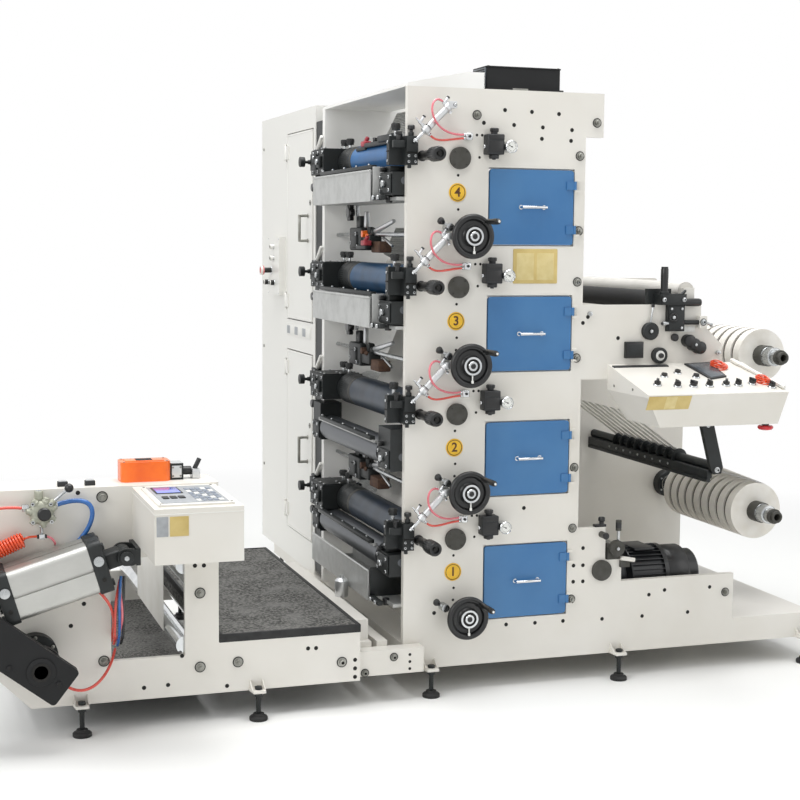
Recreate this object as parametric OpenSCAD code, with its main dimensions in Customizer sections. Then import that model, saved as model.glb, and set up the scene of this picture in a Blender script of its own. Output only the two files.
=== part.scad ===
// Four-station stack flexographic printing press.
// Tower frame: X runs to the right along the front side plate from its left edge, Y runs back from
// the face of that plate, Z runs up from the floor. The whole press is then set so that the middle
// of its footprint is the origin.

/* [Tower] */
// Width of the tower side plates
tower_w = 692; // [680:1:700]
// Clear face-to-face distance from the front side plate to the rear one
tower_gap = 1043; // [1030:1:1060]
// Thickness of the side plates
plate_t = 25; // [20:1:30]
// Height of the top edge of the side plates
tower_top = 2201; // [2180:1:2220]
// How far the head of the plates reaches past the tower's right edge
head_reach = 71; // [50:1:90]
// Depth of the head below the top edge
head_depth = 159; // [140:1:170]
// Vertical distance from one print station to the next
pitch = 460; // [450:1:465]

/* [Base] */
// Underside of the base rails, which is the height of the feet
base_z = 98; // [90:1:110]
// Top of the base deck
deck_z = 195; // [190:1:200]
// Right end of the base
base_end = 1740; // [1735:1:1760]
// Radius of a foot pad
foot_r = 32; // [28:1:40]

/* [Print rollers] */
// Radius of the plate rollers
plate_roller_r = 61; // [50:1:62]
// Height of the lowest plate roller's axis
plate_roller_z = 592; // [590:1:596]
// Radius of the impression rollers
impression_r = 70; // [60:1:70]
// Radius of the ink transfer rollers
anilox_r = 51; // [40:1:51]
// Radial running fit of every turning shaft in its bearing
fit = 0.05; // [0.02:0.01:0.1]

/* [Handwheels and doors] */
// Radius of the register handwheels
wheel_r = 80; // [70:1:84]
// Width of a blue access door
door_w = 330; // [320:1:332]
// Height of a blue access door
door_h = 271; // [260:1:272]
// From an access door's right edge to the right edge of the tower
door_margin = 47; // [45:1:50]
// Gap all round an access door
door_gap = 5; // [5:0.5:7]

/* [Electric cabinet] */
// Depth of the cabinet along Y
cabinet_len = 980; // [960:1:1000]
// Width of the cabinet along X
cabinet_w = 520; // [480:1:560]
// Height of its top
cabinet_top = 2230; // [2220:1:2240]
// Wall thickness
cabinet_t = 12; // [8:1:16]

/* [Rewinder] */
// Radius of the rewind shafts
shaft_r = 38; // [35:0.5:38]
// Radius of the upper reels
upper_reel_r = 107; // [95:1:110]
// Radius of the lower reels
lower_reel_r = 116; // [100:1:118]
// Number of slit reels on each shaft
reels = 9; // [6:1:9]
// Width of one slit reel
reel_w = 46; // [45:1:55]
// Distance from one reel to the next
reel_pitch = 66; // [62:1:68]

/* [Unwinder] */
// Top of the tall part of the unwinder side plates
unwind_top = 835; // [825:1:840]
// Top of the walking platform
platform_z = 300; // [298:1:304]
// Angle of the lift arms at rest, above the line to the left
arm_rest = 38; // [37:1:40]
// Length of a lift arm from its pivot to the unwind shaft
arm_len = 470; // [460:1:475]

/* [Hidden] */
$fn = 48;

stations = [0:3];
over = 1;                                   // cutters run this far past a face

// Where the tower frame lies, so that the middle of the footprint is the origin
box_front = -530;                           // front of the operator box
cabinet_y = [plate_t + tower_gap + 146, plate_t + tower_gap + 146 + cabinet_len];

press_y = -(box_front + cabinet_y[1]) / 2;
head_z = tower_top - head_depth;            // notch under the head
door_x = tower_w - door_margin - door_w;    // left edge of the access doors

rear_y = plate_t + tower_gap;               // front face of the rear side plate
rear_t = 36;                                // its thickness
back_y = rear_y + rear_t;

// Print station places, on the lowest station
wheel_at = [221, 296];
cap_at = [198, 574];
grip_at = [56, 578];
plate_roller_x = 62;
anilox_at = [0, 492];
roller_y = [60, 873];                       // printing width of the plate rollers
journal_r = 15;
impression_journal_r = 17;
wheel_shaft_r = 10;
ink_drop = [0, 72, 0, 0];                   // how far the ink transfer rollers stand lowered
tray_drop = [[0, 95], [2, 0], [3, 0]];      // stations with an ink tray, and how far it is lowered
web_y = [181, 775];                         // edges of the paper web between the side plates
web_t = 1;                                  // thickness given to the web
door_z = 268;
hinge_r = 3;                                // access door hinge pins
knuckle_r = 5.5;
hinge_y = -7;
hinge_x = door_x + door_w + door_gap;
knuckle_z = [[40, 70], [201, 231]];         // knuckles above a door's lower edge

// Outline of the front plate right of the tower, right edges and heights of its steps
foot_edge = 1366;
foot_top = 375;
step_edge = [877, 808];                     // lower and upper step
step_top = [460, 587];
arm_bottom = 1150;
arm_end = [1285, 1271];
arm_corner = [1189, 1361];
head_edge = tower_w + head_reach;

// Rewinder places
arm_top = 1427;                             // top of the upper arm of the front plate
upper_at = [1640, 1205];
lower_at = [1636, 560];
nip_at = [1024, 1442];
nip_r = 36;
over_at = [1135, 1477];                     // roller beside the nip
nip_journal_r = 12;
bar_at = [1270, 800];
shaft_front = 125;                          // free ends of the rewind shafts
reel_y = 290;                               // front face of the first reel

// Control desk, outline of its section along Y
desk_x = [800, 1373];
desk_foot_x = 883;
desk_front = -332;
desk_toe = -266;
desk_top_z = [1205, 1120];                  // back and front of the top
desk_bottom_z = 995;
desk_slope = atan((desk_top_z[0] - desk_top_z[1]) / -desk_front);

// Unwinder places
side_t = 20;
side_y = [-80, 1330];                       // outer faces of its front and rear plates
pivot_at = [-1318, 285];
pivot_r = 30;
arm_y = [-308, -272];                       // front lift arm
rear_arm_y = [1365, 1401];
arm_half = 68;                              // half the depth of an arm
arm_tail = 103;                             // how far an arm runs past its pivot
crank_len = 304;                            // from the arm pivot to the cylinder's pin
barrel_at = [-1035, 625];                   // fixed pivot of the lift cylinder
ear_r = 28;                                 // ears that hold the fixed pin
pin_r = 14;                                 // pins at the two ends of the cylinder
eye_gap = 10;                               // the rod's eye is this much larger than the arm's pin
unwind_shaft_r = 38;
shaft_at = pivot_at + arm_len * [-cos(arm_rest), sin(arm_rest)];
crank_at = pivot_at + crank_len * [-cos(arm_rest), sin(arm_rest)];
lift_span = norm(crank_at - barrel_at);
lift_tilt = atan((barrel_at[1] - crank_at[1]) / (barrel_at[0] - crank_at[0]));
lift_y = -178;                              // plane of the lift cylinder
left_end = pivot_at[0] - (arm_len + arm_half) * cos(arm_rest) - arm_half * sin(arm_rest);
press_x = -(left_end + upper_at[0] + upper_reel_r) / 2;
window_x = [-1065, -814];                   // opening in the unwinder side plates
window_z = [240, 590];
rear_top = 600;                             // top of the rear side plate of the unwinder
low_z = 275;                                // top of the low part of the side plates
post_x = -697;                              // right edge of the tall part

// ---- plain shapes, each given by its limits ----
module at_press() translate([press_x, press_y, 0]) children();

module block(x, y, z)
    translate([x[0], y[0], z[0]])
        cube([x[1] - x[0], y[1] - y[0], z[1] - z[0]]);

module rod_x(x, y, z, r)
    translate([x[0], y, z])
        rotate([0, 90, 0])
            cylinder(r = r, h = x[1] - x[0]);

module rod_y(x, y, z, r)
    translate([x, y[0], z])
        rotate([-90, 0, 0])
            cylinder(r = r, h = y[1] - y[0]);

module rod_z(x, y, z, r)
    translate([x, y, z[0]])
        cylinder(r = r, h = z[1] - z[0]);

// An outline in X and Z, made thick along Y
module plate_y(y)
    translate([0, y[1], 0])
        rotate([90, 0, 0])
            linear_extrude(y[1] - y[0])
                children();

// An outline in Y and Z, made thick along X
module plate_x(x)
    translate([x[0], 0, 0])
        rotate([90, 0, 90])
            linear_extrude(x[1] - x[0])
                children();

module rounded(x, y, r) {
    translate([x[0] + r, y[0]])
        square([x[1] - x[0] - 2 * r, y[1] - y[0]]);
    translate([x[0], y[0] + r])
        square([x[1] - x[0], y[1] - y[0] - 2 * r]);
    for (a = [x[0] + r, x[1] - r], b = [y[0] + r, y[1] - r])
        translate([a, b])
            circle(r);
}

// A flat bar with round ends, from p to q in X and Z
module link_shape(p, q, r) {
    d = q - p;
    translate(p)
        rotate(atan2(d[1], d[0])) {
            translate([0, -r])
                square([norm(d), 2 * r]);
            circle(r);
            translate([norm(d), 0])
                circle(r);
        }
}

// ---- a tube swept along points ----
tube_sides = 8;
function along(p, i) = i == 0 ? p[1] - p[0] : i == len(p) - 1 ? p[i] - p[i - 1] : p[i + 1] - p[i - 1];
function unit(v) = v / norm(v);
function side_of(t) = unit(abs(t[2]) < 0.8 ? cross(t, [0, 0, 1]) : cross(t, [1, 0, 0]));
function ring(c, t, r) =
    let (u = unit(t), a = side_of(u), b = cross(u, a))
    [for (k = [0:tube_sides - 1]) c + r * (cos(360 * k / tube_sides) * a + sin(360 * k / tube_sides) * b)];

module tube(p, r) {
    n = len(p);
    rings = [for (i = [0:n - 1]) each ring(p[i], along(p, i), r)];
    walls = [for (i = [0:n - 2], k = [0:tube_sides - 1])
        [i * tube_sides + k, (i + 1) * tube_sides + k,
         (i + 1) * tube_sides + (k + 1) % tube_sides, i * tube_sides + (k + 1) % tube_sides]];
    caps = [[for (k = [0:tube_sides - 1]) k],
            [for (k = [tube_sides - 1:-1:0]) (n - 1) * tube_sides + k]];
    polyhedron(rings, concat(walls, caps), convexity = 4);
}

// Points of a smooth curve that leaves a towards b and comes to d from c
function bend(a, b, c, d, n = 10) = [for (i = [0:n]) let (t = i / n, s = 1 - t)
    s * s * s * a + 3 * s * s * t * b + 3 * s * t * t * c + t * t * t * d];

// ---- base ----
rail_w = 80;
deck_t = 5;

module base_frame() at_press() color("#dcdad2") {
    block([0, base_end], [0, rail_w], [base_z, deck_z]);
    block([0, base_end], [back_y - rail_w, back_y], [base_z, deck_z]);
    for (x = [0, tower_w - rail_w, 1200, base_end - rail_w])
        block([x, x + rail_w], [rail_w, back_y - rail_w], [base_z, deck_z - deck_t]);
    // Link to the unwinder: front and rear beams and two beams along Y
    for (y = [[side_y[0] + side_t, 0], [back_y, side_y[1]]])
        block([-230, 60], y, [105, deck_z]);
    for (x = [[-175, -120], [-100, -60]])
        block(x, [0, back_y], [140, 215]);
    block([-172, -124], [30, back_y - 30], [215, 290]);
    // Sill under the electric cabinet
    for (y = [[back_y, back_y + 40], [cabinet_y[1] - 80, cabinet_y[1]]])
        block([60, cabinet_w - 60], y, [base_z, deck_z]);
    block([60, 120], [back_y + 40, cabinet_y[1] - 80], [base_z, deck_z]);
    block([cabinet_w - 120, cabinet_w - 60], [back_y + 40, cabinet_y[1] - 80], [base_z, deck_z]);
}

module base_deck() at_press() color("#dcdad2")
    block([0, base_end], [rail_w, back_y - rail_w], [deck_z - deck_t, deck_z]);

// Foot pad, spindle and the lug that the spindle screws into
module foot(x, y, side) {
    rod_z(x, y, [0, 14], foot_r);
    rod_z(x, y, [14, 24], foot_r * 0.6);
    rod_z(x, y, [24, base_z + 22], 8);
    translate([x, y, base_z])
        linear_extrude(10)
            polygon([[-28, side * 32], [-22, -side * 24], [22, -side * 24], [28, side * 32]]);
}

foot_places = [
    [-1169, side_y[0] - 32, 1], [-565, side_y[0] - 32, 1],
    [-1169, side_y[1] + side_t + 32, -1], [-565, side_y[1] + side_t + 32, -1],
    [100, -32, 1], [860, -32, 1], [1680, -32, 1],
    [1680, back_y + 32, -1], [860, back_y + 32, -1],
    [160, cabinet_y[1] - 160, 0], [cabinet_w - 90, cabinet_y[1] - 40, 0]];

module levelling_feet() at_press() color("#2b2b2b") {
    for (f = foot_places)
        if (f[2] != 0)
            foot(f[0], f[1], f[2]);
    for (x = [90, cabinet_w - 90])
        rod_z(x, cabinet_y[1] - 40, [0, base_z], foot_r);
}

// ---- tower ----
module roller_bores(y)
    for (k = stations)
        rod_y(cap_at[0], y, cap_at[1] + k * pitch, impression_journal_r);

module front_panel() at_press() color("#e2dfd6") {
    difference() {
        plate_y([0, plate_t])
            polygon([[0, deck_z], [foot_edge, deck_z], [foot_edge, foot_top],
                [step_edge[0], foot_top], [step_edge[0], step_top[0]],
                [step_edge[1], step_top[0]], [step_edge[1], step_top[1]],
                [tower_w, step_top[1]], [tower_w, arm_bottom], [arm_end[0], arm_bottom], arm_end,
                arm_corner, [arm_corner[0], arm_top], [tower_w, arm_top], [tower_w, head_z],
                [head_edge, head_z], [head_edge, tower_top], [0, tower_top]]);
        for (k = stations)
            block([door_x - door_gap, door_x + door_w + door_gap], [-over, plate_t + over],
                [door_z - door_gap, door_z + door_h + door_gap] + [k, k] * pitch);
        for (k = stations)
            rod_y(wheel_at[0], [-over, plate_t + over], wheel_at[1] + k * pitch, wheel_shaft_r + fit);
        roller_bores([-over, plate_t + over]);
    }
    // Lug of the roller beside the nip, and the bearing of the post
    block([over_at[0] - 23, over_at[0] + 23], [0, plate_t], [arm_top, over_at[1] + 13]);
    block([1172, 1203], [-24, 0], [1338, 1384]);
    // Hinge lugs and pins of the access doors
    for (k = stations, z = knuckle_z)
        translate([0, 0, door_z + k * pitch]) {
            block([hinge_x + 1, hinge_x + 18], [hinge_y - knuckle_r, 0], [z[0] - 9, z[0] - 1]);
            block([hinge_x + 1, hinge_x + 18], [hinge_y - knuckle_r, 0], [z[1] + 1, z[1] + 9]);
            rod_z(hinge_x, hinge_y, [z[0] - 9, z[1] + 9], hinge_r);
        }
}

module rear_panel() at_press() color("#e2dfd6")
    difference() {
        plate_y([rear_y, back_y])
            polygon([[0, deck_z], [tower_w, deck_z], [tower_w, head_z], [head_edge, head_z],
                [head_edge, tower_top], [0, tower_top]]);
        roller_bores([rear_y - over, back_y + over]);
    }

back_edge = base_end - 19;                  // right edge of the rewinder's back plate

module rewind_back_plate() at_press() color("#dedcd3") {
    difference() {
        plate_y([rear_y, back_y])
            polygon([[tower_w, deck_z], [back_edge, deck_z], [back_edge, 1330],
                [back_edge - 161, 1500], [tower_w, 1500]]);
        for (p = [upper_at, lower_at])
            rod_y(p[0], [rear_y - over, back_y + over], p[1], shaft_r + fit);
        rod_y(nip_at[0], [rear_y - over, back_y + over], nip_at[1], nip_journal_r + fit);
    }
    // Bearing housings of the rewind shafts
    for (p = [upper_at, lower_at])
        difference() {
            rod_y(p[0], [rear_y - 45, rear_y], p[1], 58);
            rod_y(p[0], [rear_y - 45 - over, rear_y + over], p[1], shaft_r + fit);
        }
    // Belt case behind the plate
    difference() {
        block([1540, 1716], [back_y, back_y + 90], [470, 1300]);
        block([1552, 1704], [back_y - over, back_y + 78], [482, 1288]);
    }
}

module cross_bars() at_press() color("#b9b9b4") {
    for (p = [[668, 320], [668, 1100], [668, 1980], [760, 1200], [1230, 1200], [1320, 300]])
        rod_y(p[0], [plate_t, rear_y], p[1], 18);
}

cover_rise = [11, 57];                      // height of the sloped cover at its left and right
cover_edge = 290;
blower_rise = 85;

module top_cover() at_press() color("#eeece6")
    plate_y([0, back_y])
        polygon([[0, tower_top], [0, tower_top + cover_rise[0]],
            [cover_edge - 65, tower_top + cover_rise[1]], [cover_edge, tower_top + cover_rise[1]],
            [cover_edge, tower_top]]);

module blower_box() at_press() color("#262626") {
    difference() {
        block([cover_edge + 16, tower_w - 100], [20, 150], [tower_top, tower_top + blower_rise]);
        for (i = [0:5])
            block([cover_edge, cover_edge + 22], [40 + i * 16, 48 + i * 16],
                [tower_top + 24, tower_top + blower_rise - 16]);
    }
    block([cover_edge + 50, tower_w - 132], [150, 420], [tower_top, tower_top + blower_rise - 16]);
    block([cover_edge + 10, tower_w - 92], [4, 440], [tower_top, tower_top + 6]);
}

module drive_case() at_press() color("#232526")
    block([4, tower_w - 52], [back_y, cabinet_y[0]], [deck_z + 20, tower_top - 41]);

// ---- electric cabinet ----
cab_upper_z = [1302, 2133];
cab_lower_z = [334, 1156];
cab_door_y = [cabinet_y[0] + 38, cabinet_y[0] + 480];
cab_bottom = base_z + 97;
cab_hinge = [-7, cab_door_y[1] + 5];
cab_hinge_r = 4;
bow_out = 42;                               // reach of the cabinet handles

module cabinet_doorway(z)
    block([-over, cabinet_t + over], [cab_door_y[0] - 5, cab_door_y[1] + 5], [z[0] - 5, z[1] + 5]);

module electric_cabinet() at_press() color("#e6e4dc") {
    difference() {
        block([0, cabinet_w], cabinet_y, [cab_bottom, cabinet_top]);
        block([cabinet_t, cabinet_w - cabinet_t], [cabinet_y[0] + cabinet_t, cab_door_y[1] + 60],
            [cab_bottom + cabinet_t, 1220]);
        block([cabinet_t, cabinet_w - cabinet_t], [cabinet_y[0] + cabinet_t, cab_door_y[1] + 60],
            [1240, cabinet_top - cabinet_t]);
        cabinet_doorway(cab_upper_z);
        cabinet_doorway(cab_lower_z);
    }
    for (z = [cab_upper_z, cab_lower_z], e = [80, z[1] - z[0] - 80])
        translate([0, 0, z[0] + e]) {
            block([cab_hinge[0] - 6, 0], [cab_hinge[1] + 1, cab_hinge[1] + 18], [-39, -31]);
            block([cab_hinge[0] - 6, 0], [cab_hinge[1] + 1, cab_hinge[1] + 18], [31, 39]);
            rod_z(cab_hinge[0], cab_hinge[1], [-39, 39], cab_hinge_r);
        }
}

module cabinet_door(z)
    difference() {
        union() {
            block([-3, 9], cab_door_y, z);
            for (e = [80, z[1] - z[0] - 80])
                translate([0, 0, z[0] + e]) {
                    rod_z(cab_hinge[0], cab_hinge[1], [-30, 30], 6);
                    block([cab_hinge[0] - 2, -3], [cab_hinge[1] - 40, cab_hinge[1]], [-30, 30]);
                }
            // Bow handle
            translate([0, cab_door_y[0] + 72, (z[0] + z[1]) / 2 - 8]) {
                rod_z(-bow_out, 0, [-60, 60], 6);
                for (e = [-54, 54])
                    rod_x([-bow_out, -3], 0, e, 6);
            }
        }
        rod_z(cab_hinge[0], cab_hinge[1], [z[0], z[1]], cab_hinge_r + fit);
    }

module cabinet_door_upper() at_press() color("#e6e4dc") cabinet_door(cab_upper_z);
module cabinet_door_lower() at_press() color("#e6e4dc") cabinet_door(cab_lower_z);

module switch_strip() at_press() color("#d8d6d0") {
    block([-30, 0], [1735, 1945], [1403, 1671]);
    rod_x([-70, -30], 1880, 1516, 12);
    rod_x([-84, -70], 1880, 1516, 22);
    for (z = [1573, 1626])
        rod_x([-48, -30], 1840, z, 12);
    for (y = [1822, 1938])
        rod_x([-54, -30], y, 1459, 12);
}

// ---- access doors and handwheels ----
module access_door(k)
    at_press() color("#3a71a4") translate([0, 0, k * pitch])
        difference() {
            union() {
                plate_y([-3, 12])
                    rounded([door_x, door_x + door_w], [door_z, door_z + door_h], 12);
                for (z = knuckle_z)
                    translate([0, 0, door_z]) {
                        rod_z(hinge_x, hinge_y, z, knuckle_r);
                        block([hinge_x - 34, hinge_x], [hinge_y - 1, -3], z);
                    }
                // Bow handle in the middle
                translate([door_x + door_w / 2 + 2, 0, door_z + door_h / 2]) {
                    rod_x([-50, 50], -26, 0, 5);
                    for (e = [-45, 45])
                        rod_y(e, [-26, -3], 0, 5);
                }
            }
            rod_z(hinge_x, hinge_y, [door_z, door_z + door_h], hinge_r + fit);
        }

module access_door_1() access_door(0);
module access_door_2() access_door(1);
module access_door_3() access_door(2);
module access_door_4() access_door(3);

wheel_y = -95;                              // outer face of the rim
grip_turn = 50;                             // where the crank grip stands, above the right
grip_len = 125;

module handwheel(k)
    at_press() color("#26282a") translate([wheel_at[0], 0, wheel_at[1] + k * pitch]) {
        rotate([90, 0, 0])
            translate([0, 0, -wheel_y - 12])
                rotate_extrude() {
                    translate([wheel_r - 11, 0])
                        circle(11);
                    translate([0, -5])
                        square([wheel_r - 12, 10]);
                }
        rod_y(0, [wheel_y - 8, wheel_y + 30], 0, 27);
        rod_y(0, [wheel_y - 12, plate_t], 0, wheel_shaft_r);
        rotate([0, -grip_turn, 0]) {
            rod_y(wheel_r - 12, [wheel_y - 30, wheel_y + 12], 0, 5);
            rod_y(wheel_r - 12, [wheel_y - grip_len, wheel_y - 16], 0, 11);
        }
    }

module handwheel_1() handwheel(0);
module handwheel_2() handwheel(1);
module handwheel_3() handwheel(2);
module handwheel_4() handwheel(3);

// ---- fittings on the front panel ----
module bearing_caps() at_press() color("#2e2d2a") {
    for (k = stations)
        translate([0, 0, k * pitch]) {
            rod_y(cap_at[0], [-12, 0], cap_at[1], 39.5);
            difference() {
                rod_y(wheel_at[0], [-34, 0], wheel_at[1], 28);
                rod_y(wheel_at[0], [-34 - over, over], wheel_at[1], wheel_shaft_r + fit);
            }
        }
    rod_y(792, [-12, 0], 422, 39.5);
    step_levers();
}

module panel_grips() at_press() color("#1f1f20")
    for (k = stations)
        translate([0, 0, k * pitch]) {
            // Impression grip on its stem
            rod_y(grip_at[0], [-110, 0], grip_at[1], 14);
            rod_y(grip_at[0], [-186, -110], grip_at[1], 25);
            // Ball lever of the register lock
            rod_y(150, [-44, 0], 328, 15);
            translate([150, -34, 328])
                rotate([0, -56, 0]) {
                    cylinder(r = 5, h = 30);
                    translate([0, 0, 28])
                        cylinder(r = 10, h = 20);
                }
        }

module pressure_regulators() at_press() color("#1d1d1e")
    for (k = stations)
        translate([0, 0, 616 + k * pitch]) {
            block([288, 352], [-48, 0], [-28, 44]);
            rod_z(320, -24, [44, 52], 12);
            rod_z(320, -24, [52, 66], 15);
            rod_z(320, -24, [-42, -28], 18);
            block([352, 366], [-36, -12], [-10, 10]);
            rod_y(375, [-60, -12], 0, 23);
        }

// Air cylinder that throws the plate roller on and off, on the face of the front panel
module air_cylinders() at_press() color("#b9bcbd")
    for (k = stations)
        translate([0, -40, 622 + k * pitch]) {
            translate([10, 0, 0])
                rotate([0, 45, 0]) {
                    cylinder(r = 6, h = 60);
                    translate([0, 0, 52])
                        cylinder(r = 16, h = 20);
                    translate([0, 0, 72])
                        cylinder(r = 13, h = 96);
                    translate([0, 0, 168])
                        cylinder(r = 16, h = 22);
                    // Tube fittings
                    rod_x([-26, -14], 0, 178, 6);
                    rod_x([14, 26], 0, 62, 6);
                }
            block([134, 166], [-16, 40], [122, 146]);
        }

// ---- bearings of the print rollers ----
bearing_z = [546, 646];
bracket_z = [440, 522];                     // brackets of the ink transfer roller

module press_knob(x, y, z) {
    rod_z(x, y, [z, z + 22], 6);
    rod_z(x, y, [z + 22, z + 46], 15);
}

module bearing_block(y)
    difference() {
        block([-59, 112], y, bearing_z);
        rod_y(plate_roller_x, [y[0] - over, y[1] + over], plate_roller_z, journal_r + fit);
    }

module operator_bearings() at_press() color("#20282a")
    for (k = stations)
        translate([0, 0, k * pitch]) {
            bearing_block([plate_t, 54]);
            press_knob(-30, 39, bearing_z[1]);
            block([-12, 31], [-25, 0], [545, 645]);
            block([-12, 0], [0, plate_t], [545, 645]);
            // Bracket of the ink transfer roller
            difference() {
                block([-46, 46], [plate_t, 165], bracket_z - [ink_drop[k], 0]);
                rod_y(anilox_at[0], [plate_t - over, 166], anilox_at[1] - ink_drop[k], 14);
            }
        }

module drive_bearings() at_press() color("#20282a")
    for (k = stations)
        translate([0, 0, k * pitch]) {
            bearing_block([880, rear_y]);
            for (y = [905, 985])
                press_knob(plate_roller_x, y, bearing_z[1]);
            // Throw-off knob beside the drive case
            block([-30, 4], [back_y + 22, back_y + 84], [572, 640]);
            rod_x([-66, -30], back_y + 50, 606, 6);
            rod_x([-86, -66], back_y + 50, 606, 21);
            rod_x([-18, 4], back_y + 50, 500, 16);
            difference() {
                block([-46, 46], [960, rear_y], bracket_z - [ink_drop[k], 0]);
                rod_y(anilox_at[0], [960 - over, rear_y + over], anilox_at[1] - ink_drop[k], 14);
            }
        }

tray_x = [-82, 100];
tray_z = [420, 530];
tray_y = [172, 953];
tray_t = 4;

module ink_trays() at_press() color("#9fa3a3")
    for (t = tray_drop)
        translate([0, 0, t[0] * pitch - t[1]]) {
            block(tray_x, tray_y, [tray_z[0], tray_z[0] + tray_t]);
            block([tray_x[0], tray_x[0] + tray_t], tray_y, [tray_z[0] + tray_t, tray_z[1]]);
            block([tray_x[1] - tray_t, tray_x[1]], tray_y, [tray_z[0] + tray_t, tray_z[1] - 30]);
            for (y = [tray_y[0], tray_y[1] - tray_t])
                block([tray_x[0] + tray_t, tray_x[1] - tray_t], [y, y + tray_t],
                    [tray_z[0] + tray_t, tray_z[0] + 14]);
            // Lugs that hang the ends of the tray on the side plates
            for (y = [[plate_t, tray_y[0]], [tray_y[1], rear_y]])
                block([-30, 30], y, [tray_z[0] + 2, tray_z[0] + 14]);
        }

module anilox_rollers() at_press() color("#3a3d40")
    for (k = stations)
        translate([anilox_at[0], 0, anilox_at[1] + k * pitch - ink_drop[k]]) {
            rod_y(0, [178, 947], 0, anilox_r);
            rod_y(0, [plate_t, rear_y], 0, 14);
        }

module plate_roller(k, tint)
    at_press() color(tint) translate([0, 0, k * pitch]) {
        rod_y(plate_roller_x, roller_y, plate_roller_z, plate_roller_r);
        rod_y(plate_roller_x, [plate_t + 1, rear_y - 1], plate_roller_z, journal_r);
    }

module plate_roller_1() plate_roller(0, "#20303a");
module plate_roller_2() plate_roller(1, "#1f3c66");
module plate_roller_3() plate_roller(2, "#1c4f86");
module plate_roller_4() plate_roller(3, "#2163ad");

module impression_rollers() at_press() color("#c9cbca")
    for (k = stations) {
        rod_y(cap_at[0], [plate_t + 10, rear_y - 10], cap_at[1] + k * pitch, impression_r);
        rod_y(cap_at[0], [0, back_y], cap_at[1] + k * pitch, impression_journal_r);
    }

module web_rollers() at_press() color("#c3c5c4") {
    for (k = stations)
        rod_y(300, [plate_t, rear_y], 640 + k * pitch, 28);
    rod_y(over_at[0], [plate_t, rear_y], over_at[1], 35);
    rod_y(880, [plate_t, rear_y], 1330, 30);
    rod_y(60, [plate_t, rear_y], 287, 30);
}

module dryer_hoods() at_press() color("#c9cac6")
    for (k = stations)
        translate([172, plate_t, 684 + k * pitch])
            rotate([0, 27, 0])
                block([0, 60], [0, 765], [0, 118]);

// ---- rewinder ----
module nip_roller() at_press() color("#1b1b1c") {
    rod_y(nip_at[0], [60, rear_y - 20], nip_at[1], nip_r);
    rod_y(nip_at[0], [plate_t + 1, back_y], nip_at[1], nip_journal_r);
}

// Brackets and levers of the nip, and the bracket that holds the lift cylinder of the unwinder
module mount_brackets() at_press() color("#1d1e1f") {
    difference() {
        block([975, 1073], [plate_t, 50], [1392, 1486]);
        rod_y(nip_at[0], [plate_t - over, 51], nip_at[1], nip_journal_r + fit);
    }
    block([1037, 1108], [-20, 0], [1327, arm_top]);
    block([1000, 1108], [-32, plate_t], [arm_top, 1468]);
    rod_z(1021, -16, [1468, 1570], 13);
    rod_x([1108, 1174], -18, 1436, 13);
    // Round plates, the lobed clamp, the switch and the dial
    rod_y(970, [-14, 0], 1328, 33);
    rod_y(1076, [-8, 0], 1303, 14);
    for (p = [[1130, 1290], [1152, 1276], [1176, 1264]])
        rod_y(p[0], [-30, 0], p[1], 24);
    block([867, 939], [-18, 0], [1228, 1289]);
    rod_y(1010, [-16, 0], 1236, 30);
    // Post beside the plate corner
    rod_x([1108, 1172], -12, 1360, 9);
    lift_bracket();
}

module rewind_shaft(p) {
    rod_y(p[0], [shaft_front + 60, back_y + 60], p[1], shaft_r);
    rod_y(p[0], [shaft_front + 18, shaft_front + 60], p[1], 30);
    rod_y(p[0], [shaft_front, shaft_front + 18], p[1], 22);
}

module rewind_reels(p, r)
    for (i = [0:reels - 1])
        difference() {
            rod_y(p[0], [reel_y + i * reel_pitch, reel_y + i * reel_pitch + reel_w], p[1], r);
            rod_y(p[0], [reel_y + i * reel_pitch - over, reel_y + i * reel_pitch + reel_w + over], p[1],
                shaft_r);
        }

module upper_rewind_shaft() at_press() color("#8e9193") rewind_shaft(upper_at);
module upper_reels() at_press() color("#e8e5dc") rewind_reels(upper_at, upper_reel_r);
module lower_rewind_shaft() at_press() color("#8e9193") rewind_shaft(lower_at);
module lower_reels() at_press() color("#e8e5dc") rewind_reels(lower_at, lower_reel_r);

module slitter_bar() at_press() color("#242526") {
    rod_y(bar_at[0], [0, rear_y], bar_at[1], 18);
    for (i = [0:reels - 1])
        rod_y(bar_at[0], [reel_y - 8 + i * reel_pitch, reel_y - 4 + i * reel_pitch], bar_at[1], 34);
    plate_y([-22, 0])
        polygon([[1186, desk_bottom_z], [1240, desk_bottom_z], [1292, 800], [1284, 774], [1252, 774],
            [1240, 796]]);
}

strip_top = [1040, 990];                    // where the strips come out under the desk
strip_end = [1677, 669.5];                  // where they run onto the lower reels
bar_gap = 22;                               // from the axis of the bar to the paper on it

module strip_shape(p, q)
    polygon([p, q, q + [0, web_t], p + [0, web_t]]);

web_lean = 21.8;                            // of the web between two stations, from upright
web_run = 538;                              // length of that stretch

// Paper round the impression roller of a station, down from the web roller above it
module web_wrap(k)
    translate([cap_at[0], 0, cap_at[1] + k * pitch])
        plate_y(web_y) {
            away = [-cos(web_lean), sin(web_lean)];
            run = web_run * [sin(web_lean), cos(web_lean)];
            inner = impression_r + 0.5;
            outer = inner + web_t;
            intersection() {
                difference() {
                    circle(outer);
                    circle(inner);
                }
                polygon([[0, 0], 110 * away, [-110, -110], [19, -110]]);
            }
            polygon([inner * away, outer * away, outer * away + run, inner * away + run]);
        }

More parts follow.
